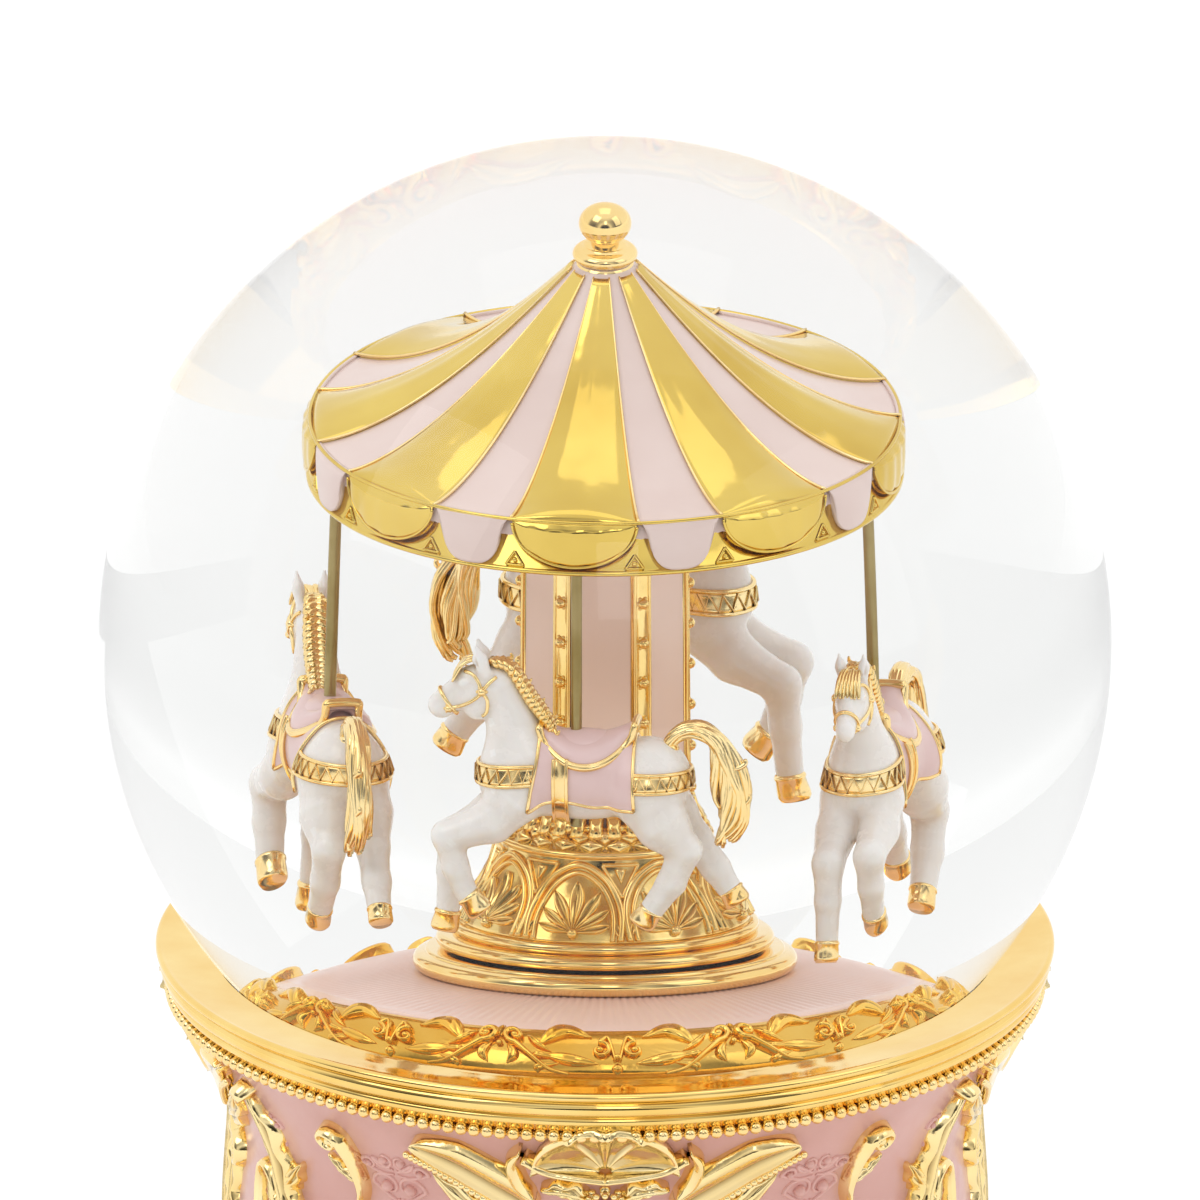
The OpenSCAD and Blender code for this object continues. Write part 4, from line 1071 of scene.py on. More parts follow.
def make_canopy_gold():
    """The billowed gold panels, their seams, and the band under them with its scallops."""
    panels = Shape()
    seams = Shape()
    for i in range(PANELS):
        gold_panel(panels, seams, panel_turn(i), i)
    band = Shape()
    band_r = CANOPY_R - 0.22
    lathe(band, [(CANOPY_R - 0.45, VALANCE_Z)]
          + arc_points((CANOPY_R - 0.18, VALANCE_Z + 0.22), 0.24, -110, 60, 7)
          + [(band_r, VALANCE_Z + 0.5), (band_r, EAVE_Z - 0.3), (CANOPY_R - 0.45, EAVE_Z - 0.3)], 256)
    skin = Skin([(band_r, VALANCE_Z), (band_r, EAVE_Z)])
    for i in range(PANELS):
        scallop(panels, band, skin, panel_turn(i))
    roll = around(CANOPY_R + 0.02, np.linspace(0, TAU, 193)[:-1], EAVE_Z + 0.05)
    tube(band, roll, 0.16, 8, closed=True)
    panels.build("canopy_gold_panels", GOLD_PANEL, "carousel", "gold_plate", ["canopy_panels"], outward=True)
    seams.build("canopy_seams", GOLD_FINE, "carousel", "gold_plate", outward=True)
    band.build("canopy_band", GOLD_PANEL, "carousel", "gold_plate", ["canopy_valance"], outward=True)


def make_finial():
    """The collar and ball on top of the roof."""
    finial = Shape()
    z = ROOF_TOP_Z
    neck_r = ROOF_NECK_R
    collar = [(0.4, z - 0.9), (neck_r + 0.28, z - 0.75), (neck_r + 0.18, z - 0.35), (1.95, z - 0.1)]
    neck = [(1.75, z + 1.22), (1.62, z + 1.4), (1.75, z + 1.6)]
    knob = arc_points((0, z + 3.82), 2.17, -58, 89, 30) + [(0.001, z + 5.99), (0.001, z - 0.9)]
    lathe(finial, collar + arc_points((2.0, z + 0.55), 0.62, -80, 80, 12) + neck + knob, 96)
    finial.build("canopy_knob", GOLD, "carousel", "gold_plate", ["canopy_finial"], sharp_deg=50)


def make_ceiling():
    """The ring-shaped ceiling under the roof, with a roll at each edge."""
    ceiling = Shape()
    top = EAVE_Z - 0.85
    lathe(ceiling, [(6.6, top - 0.8), (6.6, top), (CANOPY_R - 1.4, top), (CANOPY_R - 1.4, top - 0.65)]
          + arc_points((CANOPY_R - 2.0, top - 0.75), 0.45, 0, -180, 9) + [(14, top - 0.8)]
          + arc_points((13.4, top - 0.8), 0.35, 0, -180, 9), 192)
    ceiling.build("canopy_soffit", PALE_PINK, "carousel", "pale_pink", ["canopy_ceiling"],
                  outward=True, sharp_deg=40)


# ---------------------------------------------------------------- column and pedestal

DRUM_Z = GLOBE_Z - 20.9
CAP_RIM_Z = GLOBE_Z - 14.8
COLUMN_Z = GLOBE_Z - 13.4
COLUMN_R = 6.15
COLUMN_FLAT = COLUMN_R * math.cos(math.pi / 6)
COLUMN_SIDES = 6
COLUMN_TURN = REST_TURN + math.radians(4)
ARCHES = 8
ARCH_TURN = FRONT + math.radians(-14)


def plate_outline(half, low, high, round_r, count=8):
    """A panel's outline with rounded top corners, counter-clockwise."""
    points = [(-half, low), (half, low)]
    points += arc_points((half - round_r, high - round_r), round_r, 0, 90, count)
    points += arc_points((round_r - half, high - round_r), round_r, 90, 180, count)
    return np.array(points)


def on_face(points, depth, turn):
    """Points of a flat (x, z) outline set on a column face."""
    c, s = math.cos(turn), math.sin(turn)
    return np.array([(c * depth - s * x, s * depth + c * x, z) for x, z in points])


def prism(shape, outline, near, far, turn, bevel=0.0):
    """A flat plate on a column face, with a bevelled front edge."""
    outline = np.array(outline)
    middle = outline.mean(axis=0)
    size = np.abs(outline - middle).max(axis=0)
    small = middle + (outline - middle) * (1 - bevel / size)
    rings = np.stack([on_face(outline, near, turn), on_face(outline, far - bevel, turn),
                      on_face(small, far, turn)])
    n = len(outline)
    faces = grid_faces(3, n, False, True) + [tuple(range(n - 1, -1, -1)), tuple(2 * n + j for j in range(n))]
    shape.add(rings, faces)


def make_column():
    """Six pink panels in gold frames, six studded corner strips and a fluted flare at the foot."""
    low, high = COLUMN_Z + 1.4, EAVE_Z - 1.6
    core = Shape()
    frames = Shape()
    panels = Shape()
    corner = np.arange(COLUMN_SIDES) * TAU / COLUMN_SIDES + COLUMN_TURN
    rings = [around(COLUMN_R * 0.985, corner, z) for z in (COLUMN_Z, EAVE_Z)]
    ends = [(5, 4, 3, 2, 1, 0), (6, 7, 8, 9, 10, 11)]
    core.add(np.array(rings), grid_faces(2, COLUMN_SIDES, False, True) + ends)
    for k in range(COLUMN_SIDES):
        turn = COLUMN_TURN + (k + 0.5) * TAU / COLUMN_SIDES
        outline = plate_outline(2.25, low, high, 0.8)
        prism(panels, outline, COLUMN_FLAT - 0.5, COLUMN_FLAT + 0.22, turn, 0.12)
        border = on_face(plate_outline(2.34, low - 0.1, high + 0.1, 0.85, 10), COLUMN_FLAT + 0.1, turn)
        tube(frames, border, 0.16, 8, closed=True)
    for k in range(COLUMN_SIDES):
        turn = COLUMN_TURN + k * TAU / COLUMN_SIDES
        strip = [(-0.62, COLUMN_Z), (0.62, COLUMN_Z), (0.62, EAVE_Z - 0.9), (-0.62, EAVE_Z - 0.9)]
        prism(frames, strip, 5.2, 6.2, turn, 0.12)
        for side in (-1, 1):
            edge = on_face([(side * 0.6, z) for z in np.linspace(COLUMN_Z, EAVE_Z - 1, 6)], 6.14, turn)
            tube(frames, edge, 0.15, 7)
        for z in COLUMN_Z + 2.4 + np.arange(9) * 3.15:
            ball(frames, on_face([(0, z)], 6.32, turn)[0], 0.42, 8, 12)
            for w in np.arange(6) * TAU / 6:
                spot = (0.42 * math.cos(w), z + 0.42 * math.sin(w))
                ball(frames, on_face([spot], 6.2, turn)[0], 0.17, 5, 7)
    core.build("column_core", COLUMN_PINK, "carousel", "column_pink", ["column"], smooth=False, outward=True)
    panels.build("column_plates", COLUMN_PINK, "carousel", "column_pink", ["column_panels"],
                 smooth=False, outward=True)
    flare = Skin([(7.0, COLUMN_Z - 0.1), (6.5, COLUMN_Z + 0.6), (6.2, COLUMN_Z + 1.6)])
    for j in range(30):
        Carver(frames, flare, j * TAU / 30).stroke([(0, 0.0), (0, 0.8), (0, 1.8)], 0.6, 0.45, sink=0.6)
    frames.build("column_frames", GOLD_CARVED, "carousel", "gold_plate", ["column_strips"], outward=True)


def drum_arch(carver, height):
    """A double arch over a palmette of seven petals."""
    arch_half = 3.75
    for inset, wide, rise in ((0.0, 0.3, 0.42), (0.62, 0.22, 0.3)):
        half = arch_half - inset
        top = height * 0.93 - inset
        right = [(half, 0.1), (half * 0.97, top * 0.3), (half * 0.82, top * 0.58), (half * 0.5, top * 0.85)]
        left = [(-x, y) for x, y in right]
        carver.stroke(smooth_curve(left + [(0.0, top)] + right[::-1], 56), wide, rise, columns=6, sink=0.2)
    for angle, length, half in ((0, 3.9, 0.62), (0.48, 3.5, 0.52), (-0.48, 3.5, 0.52), (0.93, 2.9, 0.46),
                                (-0.93, 2.9, 0.46), (1.36, 2.5, 0.4), (-1.36, 2.5, 0.4)):
        root = (0.3 * math.sin(angle), 0.75 + 0.3 * math.cos(angle))
        carver.petal(root, angle, length, half, 0.42)
    carver.bead(0, 0.7, 0.15, 0.42, 8, 12)


def make_drum():
    """The flared drum with arches and palmettes, and a triangle and two petals between arches."""
    drum = Shape()
    outline = smooth_curve([(10.55, DRUM_Z + 0.05), (9.95, DRUM_Z + 1.2), (8.75, DRUM_Z + 3.1),
                            (7.95, DRUM_Z + 4.9), (7.72, DRUM_Z + 6.1)], 30)
    lathe(drum, np.vstack([outline, [(2.6, DRUM_Z + 6.1), (2.6, DRUM_Z + 0.05)]]), 160)
    skin = Skin(outline)
    height = skin.s[-1]
    for i in range(ARCHES):
        turn = ARCH_TURN + i * TAU / ARCHES
        drum_arch(Carver(drum, skin, turn), height)
        between = turn + math.pi / ARCHES
        carver = Carver(drum, skin, between)
        top = height * 0.93
        carver.triangle([(-1.35, top), (1.35, top), (0, height * 0.55)], 0.16, 0.32, 12, 0.2)
        drop = np.linspace((0, height * 0.88), (0, height * 0.72), 6)
        carver.stroke(drop, (0.5, 0.42, 0.34, 0.24, 0.14, 0.05), 0.3, sink=0.2)
        for side in (-1, 1):
            Carver(drum, skin, between, side).petal((0.25, 0.15), 0.35, 1.6, 0.28, 0.3)
    drum.build("pedestal_drum_carved", GOLD_CARVED, "carousel", "gold_plate", ["pedestal_drum"], outward=True)


def make_cap():
    """The cap on the drum, with three rows of scales."""
    cap = Shape()
    rim = [(7.75, CAP_RIM_Z)] + arc_points((7.7, CAP_RIM_Z + 0.22), 0.26, -60, 90, 8)
    crown = [(7.4, CAP_RIM_Z + 0.55), (7.0, CAP_RIM_Z + 1.1), (6.5, CAP_RIM_Z + 1.4)]
    lathe(cap, [(2.0, CAP_RIM_Z)] + rim + crown + [(2.0, CAP_RIM_Z + 1.4)], 128)
    skin = Skin(smooth_curve([(7.75, CAP_RIM_Z + 0.35), (7.35, CAP_RIM_Z + 0.8), (6.75, CAP_RIM_Z + 1.5),
                              (6.2, CAP_RIM_Z + 2.3)], 20))
    scales = 22
    t = np.linspace(0, 1, 12)
    half = 0.98 * np.minimum(np.minimum(t * 2.2, (1 - t) * 1.9), 1) + 0.03

    def ridged(u, s):
        return dome(u, 1) ** 1.6 * np.sin(np.pi * np.clip(s, 0.03, 0.97)) ** 0.6

    for row in range(3):
        path = np.stack([0 * t, 0.15 + row * 0.72 + 1.25 * t], axis=-1)
        for j in range(scales):
            carver = Carver(cap, skin, (j + 0.5 * row) * TAU / scales)
            carver.stroke(path, half, 0.42, ridged, 9)
    cap.build("pedestal_cap_scaled", GOLD_CARVED, "carousel", "gold_plate", ["pedestal_cap"], outward=True)


def make_rings():
    """The two polished rings that turn under the drum."""
    rings = Shape()
    low = GLOBE_Z - 22.85
    middle = low + 1.05
    lathe(rings, [(2.6, low), (11.75, low)] + arc_points((11.68, low + 0.5), 0.52, -90, 80, 12)
          + [(11.0, middle + 0.02)] + arc_points((10.72, middle + 0.46), 0.42, -75, 90, 12)
          + [(2.6, DRUM_Z)], 224)
    rings.build("turntable_rings", GOLD, "carousel", "gold_plate", ["turntable"], sharp_deg=50)


# ---------------------------------------------------------------- floor under the globe

FLOOR_EDGE_R = 23.5
FLOOR_EDGE_Z = GLOBE_Z - 26.4
WREATH_R = 26.8
WREATH_Z = GLOBE_Z - 30.6
WREATH_PARTS = 8


def make_floor():
    """The ribbed pink floor cone with its smooth border, and the fixed ring at its top."""
    ribs = 144
    steps = 5 * ribs
    plinth_z = box_mm("plinth_ring")[0][2]
    angles = np.arange(steps) * TAU / steps
    t = np.linspace(0, 1, 24)
    r = FLOOR_EDGE_R + (13.0 - FLOOR_EDGE_R) * t
    z = FLOOR_EDGE_Z + (plinth_z - FLOOR_EDGE_Z) * t + 0.12 * np.sin(np.pi * t)
    border = np.clip((t - 0.16) / 0.05, 0, 1) * np.clip((1 - t) / 0.03, 0, 1)
    groove = 0.5 + 0.5 * np.cos(angles * ribs)
    depth = 0.11 * np.outer(groove ** 2, border)
    grid = around(r[None, :], angles[:, None], z[None, :] - depth)
    under = grid.copy()
    under[..., 2] -= 1.2
    floor = Shape()
    sheet(floor, grid, under, wrap=True)
    side_r = FLOOR_EDGE_R - 0.1
    lathe(floor, [(21, FLOOR_EDGE_Z - 7.4), (22.5, FLOOR_EDGE_Z - 7.4), (side_r, FLOOR_EDGE_Z - 5),
                  (side_r, FLOOR_EDGE_Z - 0.2), (21, FLOOR_EDGE_Z - 0.6)], 128)
    floor.build("floor_ribbed", PINK_FLOOR, "base", "pink_floor", ["inner_floor"], outward=True)
    ring = Shape()
    low, high = box_mm("plinth_ring")[0][2], box_mm("plinth_ring")[1][2]
    lathe(ring, [(3.4, low)] + [(13.2, low)] + arc_points((13.1, low + 0.68), 0.72, -80, 60, 14)
          + arc_points((12.75, high - 0.22), 0.22, 0, 90, 5) + [(3.4, high)], 224)
    ring.build("plinth_ring_polished", GOLD, "base", "gold_plate", ["plinth_ring"], sharp_deg=50)


def wreath_part(carver, top):
    """Half of one repeat of the wreath: a small volute, leaves, a cluster and a large C-scroll."""
    carver.scroll((1.45, top * 0.52), 0.8, 1.1, math.pi / 2, 1, 0.34, 0.75,
                  [(0.2, top * 0.34), (0.75, top * 0.72)])
    carver.swell([(2.1, top * 0.78), (4.4, top * 0.9), (6.6, top * 0.62)], 0.85, 0.8)
    carver.swell([(1.6, top * 0.3), (4.0, top * 0.36), (6.2, top * 0.44)], 0.75, 0.6)
    for k in range(3):
        carver.swell([(5.6 - 0.35 * k, top * (0.5 - 0.1 * k)), (6.7, top * (0.62 - 0.2 * k)),
                      (7.5 - 0.3 * k, top * (0.8 - 0.34 * k))], 0.42, 0.7)
    carver.scroll((8.55, top * 0.74), 0.8, 1.2, -math.pi / 2, 1, 0.42, 0.85,
                  [(4.2, top * 0.12), (6.0, top * 0.2), (7.6, top * 0.44)])
    carver.swell([(9.6, top * 0.25), (8.9, top * 0.42), (9.3, top * 0.62)], 0.5, 0.6)


def make_wreath():
    """A gold cove round the floor with C-scrolls, leaves and paired volutes, eight times over."""
    wreath = Shape()
    cove = smooth_curve([(WREATH_R - 0.1, WREATH_Z - 0.8), (WREATH_R, WREATH_Z + 0.3),
                         (WREATH_R - 0.5, WREATH_Z + 1.6), (WREATH_R - 1.5, WREATH_Z + 3.0),
                         (WREATH_R - 2.5, WREATH_Z + 3.9), (FLOOR_EDGE_R - 0.1, FLOOR_EDGE_Z + 0.02)], 36)
    lathe(wreath, np.vstack([cove, [(FLOOR_EDGE_R - 0.1, WREATH_Z - 0.8)]]), 256)
    skin = Skin(cove)
    top = skin.s[-1]
    for i in range(WREATH_PARTS):
        turn = FRONT + math.radians(2.3) + i * TAU / WREATH_PARTS
        middle = Carver(wreath, skin, turn)
        middle.bead(0, top * 0.40, 0.25, 0.4, 8, 12)
        middle.bead(0, top * 0.24, 0.1, 0.24)
        middle.swell([(0, top * 0.1), (0.0, top * 0.3)], 0.5, 0.5)
        for side in (-1, 1):
            wreath_part(Carver(wreath, skin, turn, side), top)
        end = Carver(wreath, skin, turn + math.pi / WREATH_PARTS)
        end.petal((0, top * 0.72), 0, 1.3, 0.45, 0.6)
        end.bead(0, top * 0.6, 0.2, 0.32)
    wreath.build("wreath_carved", GOLD_WARM, "base", "gold_plate", ["floor_wreath"], outward=True)


# ---------------------------------------------------------------- dish, pearls, body and foot

PEARLS = 217
PEARL_R = 0.63
PEARL_ORBIT = 43.82


def make_dish():
    """The polished dish: seat, wide collar, lip and two mouldings."""
    dish = Shape()
    low_r = 33.9
    seat_r = math.sqrt(GLOBE_R ** 2 - (GLOBE_Z - LIP_Z) ** 2)
    wall = np.linspace(low_r, seat_r - 0.35, 12)
    seat = [(r, GLOBE_Z - math.sqrt((GLOBE_R + 0.06) ** 2 - r ** 2)) for r in wall]
    top = smooth_curve([(seat_r - 0.05, LIP_Z - 0.56), (DISH_R - 3.2, LIP_Z - 0.4),
                        (DISH_R - 0.85, LIP_Z - 0.1)], 18).tolist()
    side = (arc_points((DISH_R - 0.4, LIP_Z - 0.4), 0.4, 120, -40, 10) + [(DISH_R - 0.55, LIP_Z - 0.95)]
            + arc_points((DISH_R - 1.15, LIP_Z - 1.75), 0.85, 50, -45, 12) + [(DISH_R - 0.95, LIP_Z - 2.62)]
            + arc_points((DISH_R - 1.3, LIP_Z - 3.1), 0.5, 55, -50, 8)
            + [(DISH_R - 1.3, BODY_RIM_Z + 0.25), (DISH_R - 1.45, BODY_RIM_Z + 0.02)])
    under = [(36.4, 60.8), (36.4, 62.4), (40.2, BODY_RIM_Z + 0.02)]
    lathe(dish, under + side[::-1] + top[::-1] + seat[::-1] + [(low_r, 60.8)], 320)
    dish.build("dish_polished", GOLD_DISH, "base", "gold_plate", ["globe_dish"], sharp_deg=40)


def make_pearls():
    """The row of pearls under the dish, on a flat band."""
    pearls = Shape()
    for a in np.arange(PEARLS) * TAU / PEARLS:
        ball(pearls, around(PEARL_ORBIT, a, BODY_RIM_Z - 0.45), PEARL_R)
    band = [(42.9, 0.9), (43.45, 0.9), (43.45, 0.3), (42.9, 0.3)]
    lathe(pearls, [(r, BODY_RIM_Z - below) for r, below in band], PEARLS)
    pearls.build("pearl_row", GOLD_FINE, "base", "gold_plate", ["bead_ring"], outward=True)


def make_body():
    """The pink waisted body with low damask scrolls between its ornaments."""
    body = Shape()
    heights = np.linspace(FOOT_TOP_Z, BODY_RIM_Z, 90)
    wall = [(body_radius(z), z) for z in heights]
    inside = [(body_radius(z) - 2.5, z) for z in heights[::-4] if z > 14]
    lathe(body, wall + inside + [(38.5, 13.8), (38.5, 10.5), (43.6, 10.5), (43.6, FOOT_TOP_Z)], 288)
    skin = Skin([(body_radius(z), z) for z in np.linspace(FOOT_TOP_Z, BODY_RIM_Z - 0.05, 120)])
    for i in range(8):
        turn = FRONT + (i + 0.5) * TAU / 8 + math.radians(-8.5 if i % 2 else 8.5)
        for side in (-1, 1):
            carver = Carver(body, skin, turn, side)
            for y in (skin.along(z) for z in (24, 34, 44, 54)):
                for dx, dy, r, hand in ((1.3, 1.6, 1.5, 1), (1.0, 5.0, 1.1, -1), (2.9, 4.0, 0.8, 1)):
                    carver.scroll((dx, y + dy), r, 1.0, 0.0, hand, 0.26, 0.22,
                                  [(0.2, y + dy - r), (dx * 0.6, y + dy - r * 1.1)])
    body.build("body_embossed", PINK_BODY, "base", "pink_body", ["base_housing"], outward=True, sharp_deg=50)


def shell_fan(shape, skin, turn):
    """The ribbed shell at the top of a crest."""
    fan = np.radians(np.linspace(-86, 86, 69))[:, None]
    reach = np.linspace(0.08, 1, 18)[None, :]
    length = 6.2 + 0.6 * np.sin(fan) ** 2 - 0.3 * np.exp(-(fan / 0.1) ** 2)
    ridges = sum(np.exp(-((fan - math.radians(at)) / 0.06) ** 2) for at in (-86, -32, -3.5, 3.5, 32, 86))
    edge = np.exp(-((1 - reach) / 0.09) ** 2)
    rise = 0.8 + 0.45 * reach + (0.5 * ridges + 0.35 * edge) * np.minimum(reach * 2, 1)
    rise = rise - 0.45 * np.sin(np.pi * reach)
    x, y = length * reach * np.sin(fan), skin.along(61.0) + length * reach * np.cos(fan)
    sheet(shape, skin.at(x, y, rise, turn), skin.at(x, y, 0 * x - 0.3, turn))


def rosette(carver):
    """Eight petals round a ball, with a row of beads over them."""
    y = carver.skin.along
    for w in (np.arange(9) - 4) * 0.36:
        carver.bead(2.3 * math.sin(w), y(56.6) + 1.9 * math.cos(w), 1.2, 0.34)
    carver.bead(0, y(56.4), 1.1, 1.1, 10, 16)
    for a in np.arange(8) * TAU / 8:
        carver.petal((math.sin(a), y(56.4) + math.cos(a)), a, 1.4, 0.55, 1.0)


def crest_wing(carver):
    """A beaded wing, the leaf under it and the curls beside the pendant leaf."""
    lie = carver.skin.lie
    t = np.linspace(0, 1, 40)
    wing = smooth_curve(lie((6.2, 56.0), (9.8, 58.4), (14.2, 61.0), (18.6, 62.6)), 40)
    blade = 2.3 * np.minimum(np.minimum((t / 0.3) ** 0.6 + 0.1, 1), ((1 - t) / 0.35) ** 0.55 + 0.12)

    def feathered(u, s):
        return dome(u, 4) * (0.75 + 0.35 * np.abs(u) ** 2 - 0.2 * np.exp(-(u / 0.12) ** 2))

    carver.stroke(wing, blade, 1.7, feathered, 15)
    for x, y in smooth_curve(lie((7.6, 54.6), (11.2, 57.0), (15.2, 59.4), (19.0, 61.2)), 24):
        carver.bead(x, y, 1.1, 0.4)
    carver.leaf(lie((5.6, 53.2), (9.6, 54.0), (13.4, 56.2), (16.6, 59.0)), 1.9, 1.5, 4)
    carver.scroll(*lie((5.6, 48.2)), 1.7, 1.3, math.pi / 2, -1, 0.6, 1.4, lie((1.4, 54.0), (3.4, 51.8)))
    carver.leaf(lie((2.2, 53.0), (4.2, 47.0), (4.0, 42.6), (6.2, 39.2)), 1.35, 1.3, 4)
    carver.scroll(*lie((2.6, 40.6)), 1.0, 1.1, math.pi / 2, 1, 0.4, 1.0, lie((0.4, 45.5), (1.5, 43.2)))


def crest(shape, skin, turn):
    """A shell over a rosette, beaded wings, curled leaves and a long pendant leaf."""
    lie = skin.lie
    shell_fan(shape, skin, turn)
    for side in (-1, 1):
        carver = Carver(shape, skin, turn, side)
        brow = lie((0.0, 60.2), (3.0, 60.7), (5.6, 61.3), (7.6, 62.6))
        carver.stroke(smooth_curve(brow, 24), 0.5, 1.7)
        horn = lie((7.9, 63.6), (8.6, 61.6), (8.0, 59.2), (6.4, 57.6))
        carver.stroke(smooth_curve(horn, 24), taper(24) * 0.9, 1.7)
        carver.leaf(lie((1.6, 57.6), (3.6, 58.8), (6.0, 58.6)), 1.3, 2.0)
    middle = Carver(shape, skin, turn)
    rosette(middle)
    for side in (-1, 1):
        crest_wing(Carver(shape, skin, turn, side))
    middle.leaf(lie((0, 54.5), (0, 46.5), (0, 38.5)), 2.5, 2.1, 5, count=48)
    for k in range(4):
        middle.bead(0, skin.along(38.0 - 1.1 * k), 0.3, 0.5 - 0.09 * k)


def spray(shape, skin, turn, bud):
    """A stem that ends in a curled bud on one side, and a tall acanthus with a rolled tip on the other."""
    lie = skin.lie
    middle = Carver(shape, skin, turn)
    middle.leaf(lie((0, 16), (0, 28), (0, 42)), 4.0, 2.2, 7, count=72, columns=17)
    stem = Carver(shape, skin, turn, bud)
    stem.scroll(*lie((3.4, 60.2)), 1.3, 1.3, 0.0, 1, 0.62, 1.8,
                lie((0.6, 38), (2.2, 46), (3.6, 51.0), (5.2, 54.5), (5.3, 58.0)))
    stem.leaf(lie((4.6, 55.0), (3.0, 56.2), (1.6, 57.6)), 0.8, 1.0)
    stem.leaf(lie((2.4, 45), (5.4, 47), (7.6, 50.5)), 1.2, 1.2)
    tall = Carver(shape, skin, turn, -bud)
    tall.leaf(lie((1.0, 34), (4.0, 42), (7.0, 50), (7.6, 56), (9.4, 60.6)), 2.3, 2.0, 5, count=60, columns=15)
    tall.scroll(*lie((10.0, 60.9)), 0.85, 1.1, math.pi, -1, 0.7, 2.1)
    for (x0, z0), (x1, z1) in (((7.0, 51), (3.6, 54.5)), ((6.8, 47), (10.4, 50.5)),
                               ((5.0, 43), (1.8, 48)), ((4.6, 41), (8.8, 43.5))):
        root, middle_point, tip = lie((x0, z0), ((x0 + x1) / 2 * 1.04, (z0 + z1) / 2), (x1, z1))
        tall.leaf([root, (middle_point[0], middle_point[1] - 0.5), tip], 1.25, 1.8)
    a = np.linspace(-1.4, 4.4, 30)
    loop = np.stack([11.0 + 1.9 * np.cos(a), skin.along(48) + 4.0 * np.sin(a)], axis=-1)
    tall.stroke(loop, 0.55, 1.5)
    for side in (-1, 1):
        carver = Carver(shape, skin, turn, side)
        carver.leaf(lie((1.2, 18), (5.4, 21), (8.6, 27), (9.2, 33.5)), 2.0, 1.7, 5, count=48)
        carver.leaf(lie((3.2, 29), (7.6, 32), (10.6, 36.5), (10.2, 41.0)), 1.6, 1.5, 4)
        carver.scroll(*lie((6.0, 17.2)), 1.5, 1.2, math.pi / 2, -1, 0.5, 1.3, lie((0.8, 15.6), (3.2, 18.6)))
    middle.bead(0, skin.along(15.2), 0.6, 1.1, 10, 14)


def make_ornaments():
    """Four crests and four sprays, cast in relief and plated; the shells stand up over the pearls."""
    wall = [(body_radius(z), z) for z in np.linspace(FOOT_TOP_Z, 63.6, 120)]
    skin = Skin(wall + [(42.9, 65.4), (43.5, 67.0)])
    crests = Shape()
    sprays = Shape()
    for i in range(4):
        crest(crests, skin, FRONT + i * TAU / 4)
        spray(sprays, skin, FRONT + (i + 0.5) * TAU / 4, 1 if i % 2 else -1)
    crests.build("crests_carved", GOLD_RELIEF, "base", "gold_plate", ["crest_ornaments"], outward=True)
    sprays.build("sprays_carved", GOLD_RELIEF, "base", "gold_plate", ["leaf_sprays"], outward=True)


def make_foot():
    """The stepped gold foot with a beaded line round it."""
    foot = Shape()
    foot_r = box_mm("foot_ring")[1][0]
    cove = smooth_curve([(foot_r - 4.3, 7.0), (foot_r - 5.1, 7.6), (foot_r - 5.4, 8.5),
                         (foot_r - 6.4, FOOT_TOP_Z)], 10).tolist()
    lathe(foot, [(44, 1.0), (foot_r - 1.2, 1.0)] + arc_points((foot_r - 2.0, 3.0), 2.0, -70, 62, 16)
          + [(foot_r - 1.9, 5.0)] + arc_points((foot_r - 3.9, 5.9), 1.0, -30, 80, 8)
          + cove + [(44, FOOT_TOP_Z)], 288)
    beads = 240
    for a in np.arange(beads) * TAU / beads:
        ball(foot, around(foot_r - 2.15, a, 5.05), 0.55, 6, 10)
    foot.build("foot_moulded", GOLD, "base", "gold_plate", ["foot_ring"], outward=True, sharp_deg=50)


# ---------------------------------------------------------------- camera, light and floor

def make_camera():
    """The photograph's view: 17 degrees down, half a metre from the globe's centre."""
    distance, elevation = 0.5, math.radians(17.0)
    camera = bpy.data.cameras.new("camera")
    camera.lens = 151.3
    camera.sensor_width = 36.0
    camera.shift_x = -0.0042
    camera.shift_y = 0.035
    camera.clip_start = 0.01
    view = bpy.data.objects.new("camera", camera)
    back = Vector((0, -math.cos(elevation), math.sin(elevation)))
    view.location = Vector((0, 0, GLOBE_Z * MM)) + back * distance
    view.rotation_mode = "QUATERNION"
    view.rotation_quaternion = (-back).to_track_quat("-Z", "Y")
    bpy.context.scene.collection.objects.link(view)
    bpy.context.scene.camera = view


def area_light(name, place, size, power, colour=(1, 1, 1)):
    """A soft rectangular light aimed at the globe's centre."""
    light = bpy.data.lights.new(name, "AREA")
    light.shape = "RECTANGLE"
    light.size, light.size_y = size
    light.energy = power
    light.color = colour
    lamp = bpy.data.objects.new(name, light)
    lamp.location = place
    aim = Vector((0, 0, GLOBE_Z * MM)) - lamp.location
    lamp.rotation_mode = "QUATERNION"
    lamp.rotation_quaternion = aim.to_track_quat("-Z", "Y")
    bpy.context.scene.collection.objects.link(lamp)


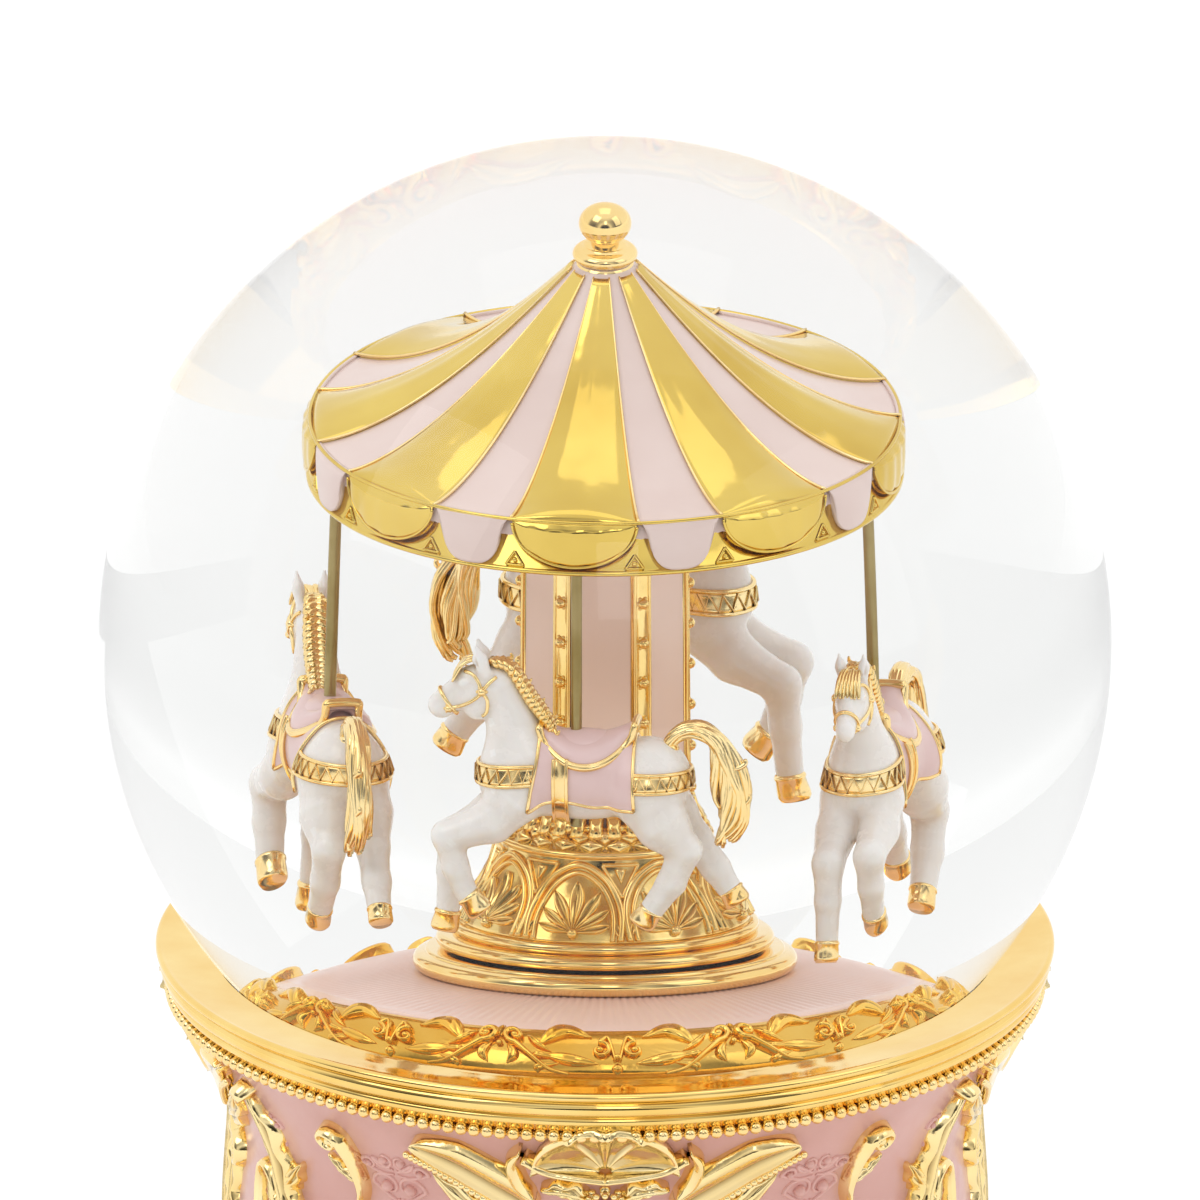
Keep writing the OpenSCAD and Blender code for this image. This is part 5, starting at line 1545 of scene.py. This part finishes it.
def make_world():
    """A white studio, darker on the camera's side in bands, which give the gold its dark tones."""
    world = bpy.data.worlds.new("studio")
    bpy.context.scene.world = world
    world.use_nodes = True
    tree = world.node_tree
    background = tree.nodes["Background"]
    coord = node(tree, "TexCoord")
    split = node(tree, "SeparateXYZ")
    tree.links.new(coord.outputs["Generated"], split.inputs[0])
    toward = ramp(tree, split.outputs["Y"], (0.0, 0.0), (1.0, 1.0))
    front = node(tree, "Math", operation="MULTIPLY")
    front.inputs[1].default_value = -1.0
    tree.links.new(split.outputs["Y"], front.inputs[0])
    dark = ramp(tree, front.outputs[0], (0.15, 1.0), (0.34, 0.22), (0.68, 0.05), (0.82, 0.30),
                (0.92, 0.9), (0.965, 0.01), (1.0, 0.0))
    height = ramp(tree, split.outputs["Z"], (0.05, 0.0), (0.5, 0.25), (0.8, 1.0))
    colour = mix(tree, height, dark, (1.0, 1.0, 1.0))
    colour = mix(tree, toward, colour, (1.0, 1.0, 1.0))
    tree.links.new(colour, background.inputs["Color"])
    background.inputs["Strength"].default_value = 1.05


def make_stage():
    """The studio's light and its pale floor, which glows a little more away from the object."""
    make_world()
    area_light("key", (-0.55, -0.45, 0.75), (0.5, 0.5), 1.3)
    area_light("fill", (0.6, -0.35, 0.45), (0.35, 0.6), 0.55)
    area_light("top", (0.0, 0.1, 0.95), (0.6, 0.6), 0.55)
    area_light("front", (0.05, -0.9, 0.62), (0.16, 0.3), 0.3)
    half = 3.0
    corners = [(-half, -half, 0), (half, -half, 0), (half, half, 0), (-half, half, 0)]
    mesh = bpy.data.meshes.new("floor")
    mesh.from_pydata(corners, [], [(0, 1, 2, 3)])
    material, tree, shader = new_material("pale_floor")
    tone = ramp(tree, noise(tree, 3.0), (0.3, (0.93, 0.93, 0.93)), (0.7, (0.95, 0.95, 0.95)))
    tree.links.new(tone, shader.inputs["Base Color"])
    shader.inputs["Roughness"].default_value = 0.9
    shader.inputs["Emission Color"].default_value = (1, 1, 1, 1)
    place = node(tree, "TexCoord")
    distance = node(tree, "VectorMath", operation="LENGTH")
    tree.links.new(place.outputs["Object"], distance.inputs[0])
    glow = ramp(tree, distance.outputs["Value"], (0.45, 0.05), (1.0, 0.25))
    tree.links.new(glow, shader.inputs["Emission Strength"])
    mesh.materials.append(material)
    ground = bpy.data.objects.new("floor", mesh)
    bpy.context.scene.collection.objects.link(ground)
    bpy.context.scene.view_settings.view_transform = "Standard"


# ---------------------------------------------------------------- globe

def make_globe():
    """The blown glass: outer wall, neck, and the inner wall that the water wets."""
    opening_z = 63.0
    neck_z = box_mm("glass_globe")[0][2]
    inner_r = GLOBE_R - GLASS_WALL
    neck_in, neck_out = 30.2, 33.2
    outer_start = -math.acos((neck_out + 0.4) / GLOBE_R)
    inner_start = -math.acos((neck_in + 0.1) / inner_r)
    rows = 120
    outer = [(GLOBE_R * math.cos(a), GLOBE_Z + GLOBE_R * math.sin(a))
             for a in np.linspace(outer_start, math.pi / 2, rows)]
    outer[-1] = (0.001, GLOBE_TOP)
    inner = [(inner_r * math.cos(a), GLOBE_Z + inner_r * math.sin(a))
             for a in np.linspace(math.pi / 2, inner_start, rows)]
    inner[0] = (0.001, GLOBE_Z + inner_r)
    shape = Shape()
    lathe(shape, [(neck_out, neck_z), (neck_out, opening_z - 1)] + outer, 256, False, 0)
    lathe(shape, inner + [(neck_in, opening_z - 2), (neck_in, neck_z)], 256, False, 1)
    lathe(shape, [(neck_in, neck_z), (neck_out, neck_z)], 256, False, 1)
    globe = shape.build("globe_glass", [FILLED_GLASS, WETTED_GLASS], "base", "globe_glass", ["glass_globe"])
    globe.visible_shadow = False
    globe.visible_diffuse = False
    globe.visible_glossy = False


dress_cad_nodes()
make_camera()
make_stage()
make_globe()
make_horses()
make_roof()
make_canopy_gold()
make_finial()
make_ceiling()
make_column()
make_drum()
make_cap()
make_rings()
make_floor()
make_wreath()
make_dish()
make_pearls()
make_body()
make_ornaments()
make_foot()
